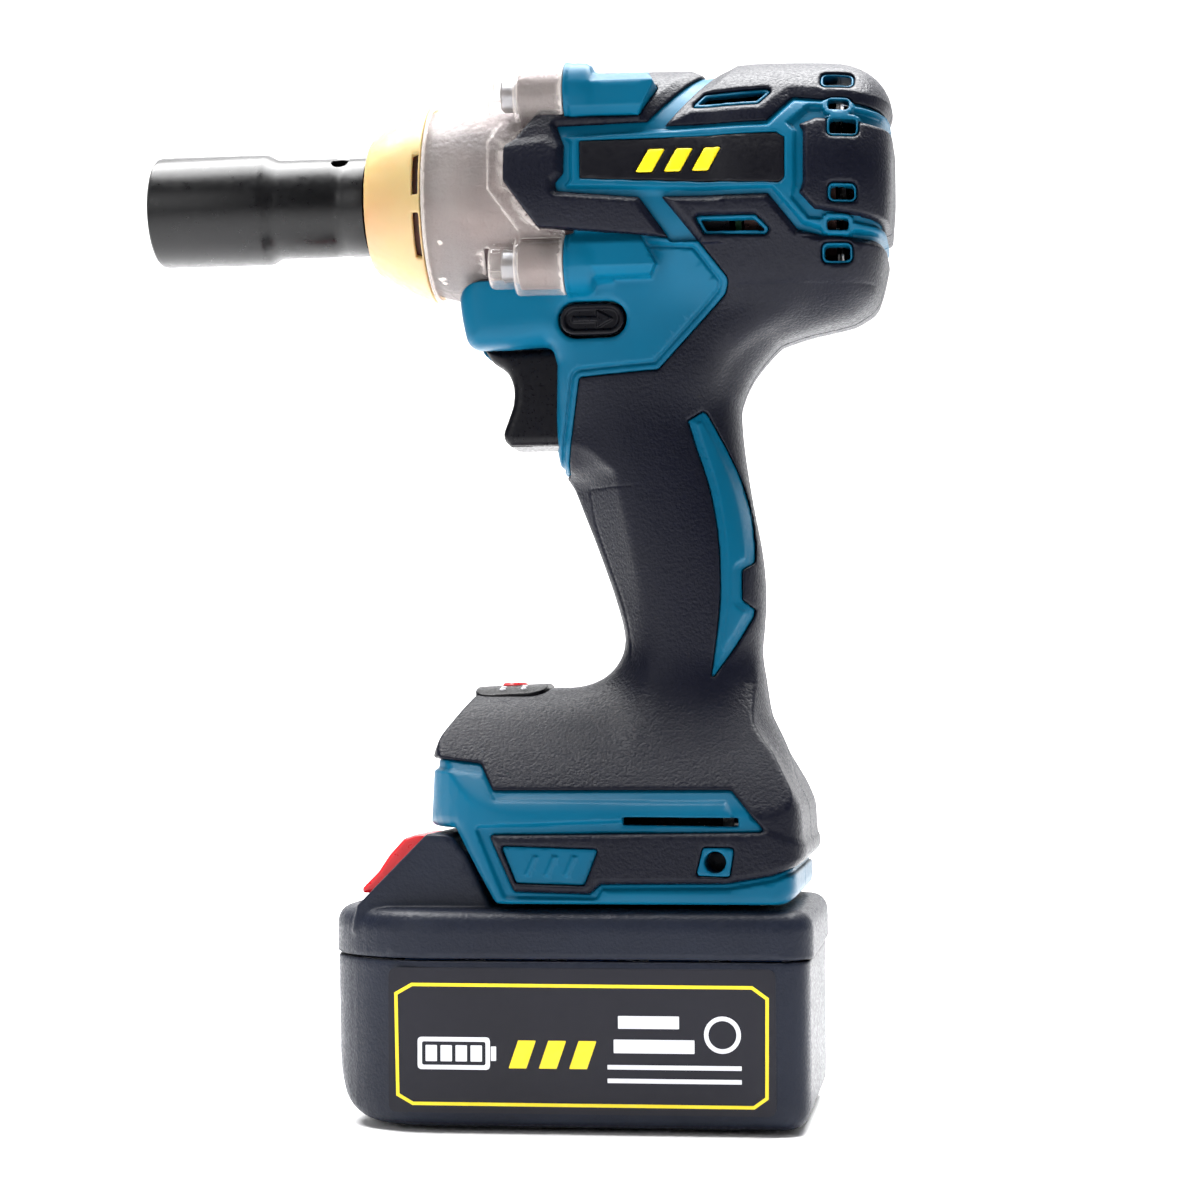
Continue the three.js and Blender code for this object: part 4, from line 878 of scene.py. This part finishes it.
def finish(name, color, second=None, rough=0.5, rough_span=0.12, metal=0.0, grain=900, grain_bump=0.15,
           patch=25, bump=0.0001, specular=0.5, edge_alpha=None, **extra):
    """A procedural finish: two tones in soft patches, fine grain in the roughness and the bump."""
    mat = bpy.data.materials.new(name)
    mat.use_nodes = True
    nodes, links = mat.node_tree.nodes, mat.node_tree.links
    shader = nodes["Principled BSDF"]
    spot = nodes.new("ShaderNodeTexCoord").outputs["Object"]

    def noise(scale, detail=3.0):
        node = nodes.new("ShaderNodeTexNoise")
        node.inputs["Scale"].default_value = scale
        node.inputs["Detail"].default_value = detail
        links.new(spot, node.inputs["Vector"])
        return node.outputs["Fac"]

    def spread(value, low, high):
        node = nodes.new("ShaderNodeMapRange")
        node.inputs["From Min"].default_value = 0.3
        node.inputs["From Max"].default_value = 0.7
        node.inputs["To Min"].default_value = low
        node.inputs["To Max"].default_value = high
        links.new(value, node.inputs["Value"])
        return node.outputs["Result"]

    mix = nodes.new("ShaderNodeMix")
    mix.data_type = "RGBA"
    links.new(spread(noise(patch), 0, 1), mix.inputs["Factor"])
    mix.inputs[6].default_value = tint(color)
    mix.inputs[7].default_value = tint(second if second is not None else color)
    links.new(mix.outputs[2], shader.inputs["Base Color"])
    fine = noise(grain, 2)
    links.new(spread(fine, max(rough - rough_span, 0.02), min(rough + rough_span, 1)),
              shader.inputs["Roughness"])
    shader.inputs["Metallic"].default_value = metal
    shader.inputs["Specular IOR Level"].default_value = specular
    lift = nodes.new("ShaderNodeBump")
    lift.inputs["Strength"].default_value = grain_bump
    lift.inputs["Distance"].default_value = bump
    links.new(fine, lift.inputs["Height"])
    links.new(lift.outputs["Normal"], shader.inputs["Normal"])
    if edge_alpha is not None:
        shape = nodes.new("ShaderNodeNewGeometry")
        rise = nodes.new("ShaderNodeMapRange")
        rise.inputs["From Min"].default_value = 0.505
        rise.inputs["From Max"].default_value = 0.55
        rise.inputs["To Min"].default_value = edge_alpha[0]
        rise.inputs["To Max"].default_value = edge_alpha[1]
        links.new(shape.outputs["Pointiness"], rise.inputs["Value"])
        links.new(rise.outputs["Result"], shader.inputs["Alpha"])
    for key, value in extra.items():
        shader.inputs[key.replace("_", " ")].default_value = value
    return mat


FINISHES = {
    "teal": finish("teal_hard_plastic", 0x004C68, 0x005674, rough=0.38, rough_span=0.05, grain=1100,
                   grain_bump=0.04, specular=0.12),
    "grip": finish("black_grip_rubber", 0x080A16, 0x0C0E1B, rough=0.42, specular=0.15, grain=1500,
                   grain_bump=0.55, bump=0.0003),
    "plate": finish("satin_dark_plate", 0x08080E, 0x0C0C13, specular=0.15, rough=0.42, grain=1400,
                    grain_bump=0.3),
    "yellow": finish("yellow_print", 0xF2D800, 0xEFD20A, rough=0.4, grain=900, grain_bump=0.1),
    "white": finish("white_print", 0xE4E4EA, 0xDADAE2, rough=0.45, grain=900, grain_bump=0.1),
    "film": finish("dark_label_film", 0x16161E, 0x1B1B24, specular=0.2, rough=0.38, rough_span=0.05,
                   grain=700, grain_bump=0.06),
    "pack": finish("slate_battery_plastic", 0x141824, 0x191E2B, specular=0.18, rough=0.42, grain=1500,
                   grain_bump=0.5, bump=0.0002),
    "black": finish("black_moulded_plastic", 0x06060B, 0x0A0A10, specular=0.15, rough=0.36, grain=1300,
                    grain_bump=0.3),
    "clear": finish("clear_polycarbonate", 0xDCD4CE, 0xC8BEBA, rough=0.14, rough_span=0.06, grain=400,
                    patch=40, edge_alpha=(0.12, 0.7), IOR=1.5, specular=0.6),
    "ring": finish("cream_soft_ring", 0xCBB070, 0xC89468, rough=0.4, grain=500, patch=30, Alpha=0.9,
                   Subsurface_Weight=0.3),
    "casting": finish("cast_aluminium", 0x54403F, 0x2A242A, rough=0.5, metal=0.4, grain=700, grain_bump=0.8,
                      bump=0.0004, patch=60),
    "dark_steel": finish("black_oxide_steel", 0x050506, 0x09090C, rough=0.32, rough_span=0.05,
                         specular=0.28, grain=600, grain_bump=0.08),
    "steel": finish("ground_steel", 0x6E7074, 0x7C7E83, rough=0.34, rough_span=0.05, metal=1.0, grain=900,
                    grain_bump=0.05),
    "bronze": finish("sintered_bronze", 0xA87B45, 0x8E6537, rough=0.45, metal=1.0, grain=1200,
                     grain_bump=0.4),
    "winding": finish("copper_winding", 0x3C241A, 0x1C1A20, rough=0.35, metal=0.8, grain=700, grain_bump=0.5),
    "circuit": finish("circuit_lacquer", 0x14532E, 0x0F4426, rough=0.35, grain=500),
    "wrap": finish("cell_sleeve", 0x2A5FA8, 0x2E66B2, rough=0.35, grain=500),
    "red": finish("red_plastic", 0xE01420, 0xD0101C, rough=0.36, grain=900, grain_bump=0.2),
    "lamp": finish("lamp_lens", 0xF2F2F6, 0xE4E4EC, rough=0.2, rough_span=0.05, grain=500),
}


def dress(finish_name, *pieces):
    """Give the pieces one finish, in place of any other."""
    for piece in pieces:
        piece.data.materials.clear()
        piece.data.materials.append(FINISHES[finish_name])


thing = bpy.data.objects
dress("teal", *shells)
dress("grip", *skins)
dress("plate", *plates)
dress("yellow", *plate_bars, *yellow_films)
dress("film", *dark_films)
dress("white", *white_films)
dress("lamp", *lamps)
dress("pack", thing["pack_lower"], thing["pack_upper"])
dress("black", thing["finger_trigger"], thing["turn_lever"], thing["mode_plate"])
dress("clear", thing["clear_cover"], thing["light_lens"])
dress("ring", thing["front_ring"])
dress("casting", thing["nose_casting"])
dress("dark_steel", thing["socket_body"])
dress("steel", *(thing[f"nose_screw_{n}"] for n in (1, 2, 3, 4)))
dress("red", thing["mode_knob"], thing["release_key"])

# What still shows of the CAD model takes the finish of its slot
SLOT_FINISH = {"teal_plastic": "teal", "overmould": "grip", "black_plastic": "black",
               "battery_plastic": "pack", "label": "plate", "clear_plastic": "clear", "bumper": "ring",
               "cast_aluminium": "casting", "black_steel": "dark_steel", "steel": "steel",
               "bronze": "bronze", "motor_winding": "winding", "circuit_board": "circuit",
               "cell_wrap": "wrap", "red_plastic": "red"}
for node in frame["nodes"].values():
    dress(SLOT_FINISH[node.data.materials[0].name.split(".")[0]], node)

# ---- Camera, light and floor ----
def aim_camera():
    """The viewing angle: turned from the -Y direction, a little below level, with a slight roll."""
    turn, rise, roll = math.radians(7.589), math.radians(-2.269), math.radians(-0.304)
    back = Vector((math.sin(turn) * math.cos(rise), -math.cos(turn) * math.cos(rise), math.sin(rise)))
    right = Vector((math.cos(turn), math.sin(turn), 0))
    up = back.cross(right)
    rolled_right = right * math.cos(roll) + up * math.sin(roll)
    rolled_up = up * math.cos(roll) - right * math.sin(roll)
    data = bpy.data.cameras.new("product_camera")
    data.lens = 84.918
    data.sensor_width = 36
    data.clip_end = 50
    camera = bpy.data.objects.new("product_camera", data)
    scene.collection.objects.link(camera)
    frame_matrix = Matrix((rolled_right, rolled_up, back)).transposed().to_4x4()
    frame_matrix.translation = (0.0952, -0.6635, 0.0937)
    camera.matrix_world = frame_matrix
    scene.camera = camera


aim_camera()


def area_light(name, spot, target, size, power):
    data = bpy.data.lights.new(name, "AREA")
    data.shape = "RECTANGLE"
    data.size, data.size_y = size
    data.energy = power
    lamp = bpy.data.objects.new(name, data)
    scene.collection.objects.link(lamp)
    lamp.location = spot
    lamp.rotation_euler = (Vector(target) - Vector(spot)).to_track_quat("-Z", "Y").to_euler()


area_light("overhead_panel", (-0.05, 0.15, 0.95), (0.0, 0.0, 0.15), (1.1, 0.7), 42)
area_light("front_panel", (-0.7, -1.1, 0.55), (0.0, 0.0, 0.12), (0.7, 0.7), 4)
area_light("backdrop_panel", (0, 0.55, 1.9), (0, 1.7, 0.25), (2.6, 0.6), 60)
world = bpy.data.worlds.new("studio_white")
scene.world = world
world.use_nodes = True
world.node_tree.nodes["Background"].inputs["Color"].default_value = (1, 1, 1, 1)
world.node_tree.nodes["Background"].inputs["Strength"].default_value = 0.2
scene.view_settings.view_transform = "Standard"

# Floor that curves up into a backdrop, a shallow sheet behind the object
profile = [(-3.0, 0.0), (0.8, 0.0)]
profile += [(0.8 + 1.0 * math.sin(a), 1.0 - 1.0 * math.cos(a)) for a in np.linspace(0.05, math.pi / 2, 24)]
profile += [(1.8, 3.0)]
floor_mesh = bpy.data.meshes.new("paper_floor")
floor_mesh.from_pydata([(px, py, pz) for py, pz in profile for px in (-4, 4)], [],
                       [(2 * i, 2 * i + 1, 2 * i + 3, 2 * i + 2) for i in range(len(profile) - 1)])
for face in floor_mesh.polygons:
    face.use_smooth = True
floor = bpy.data.objects.new("paper_floor", floor_mesh)
scene.collection.objects.link(floor)
floor_mesh.materials.append(finish("white_paper", 0xFAFAFA, 0xF6F6F7, rough=0.85, grain=300,
                                   grain_bump=0.05, patch=2))
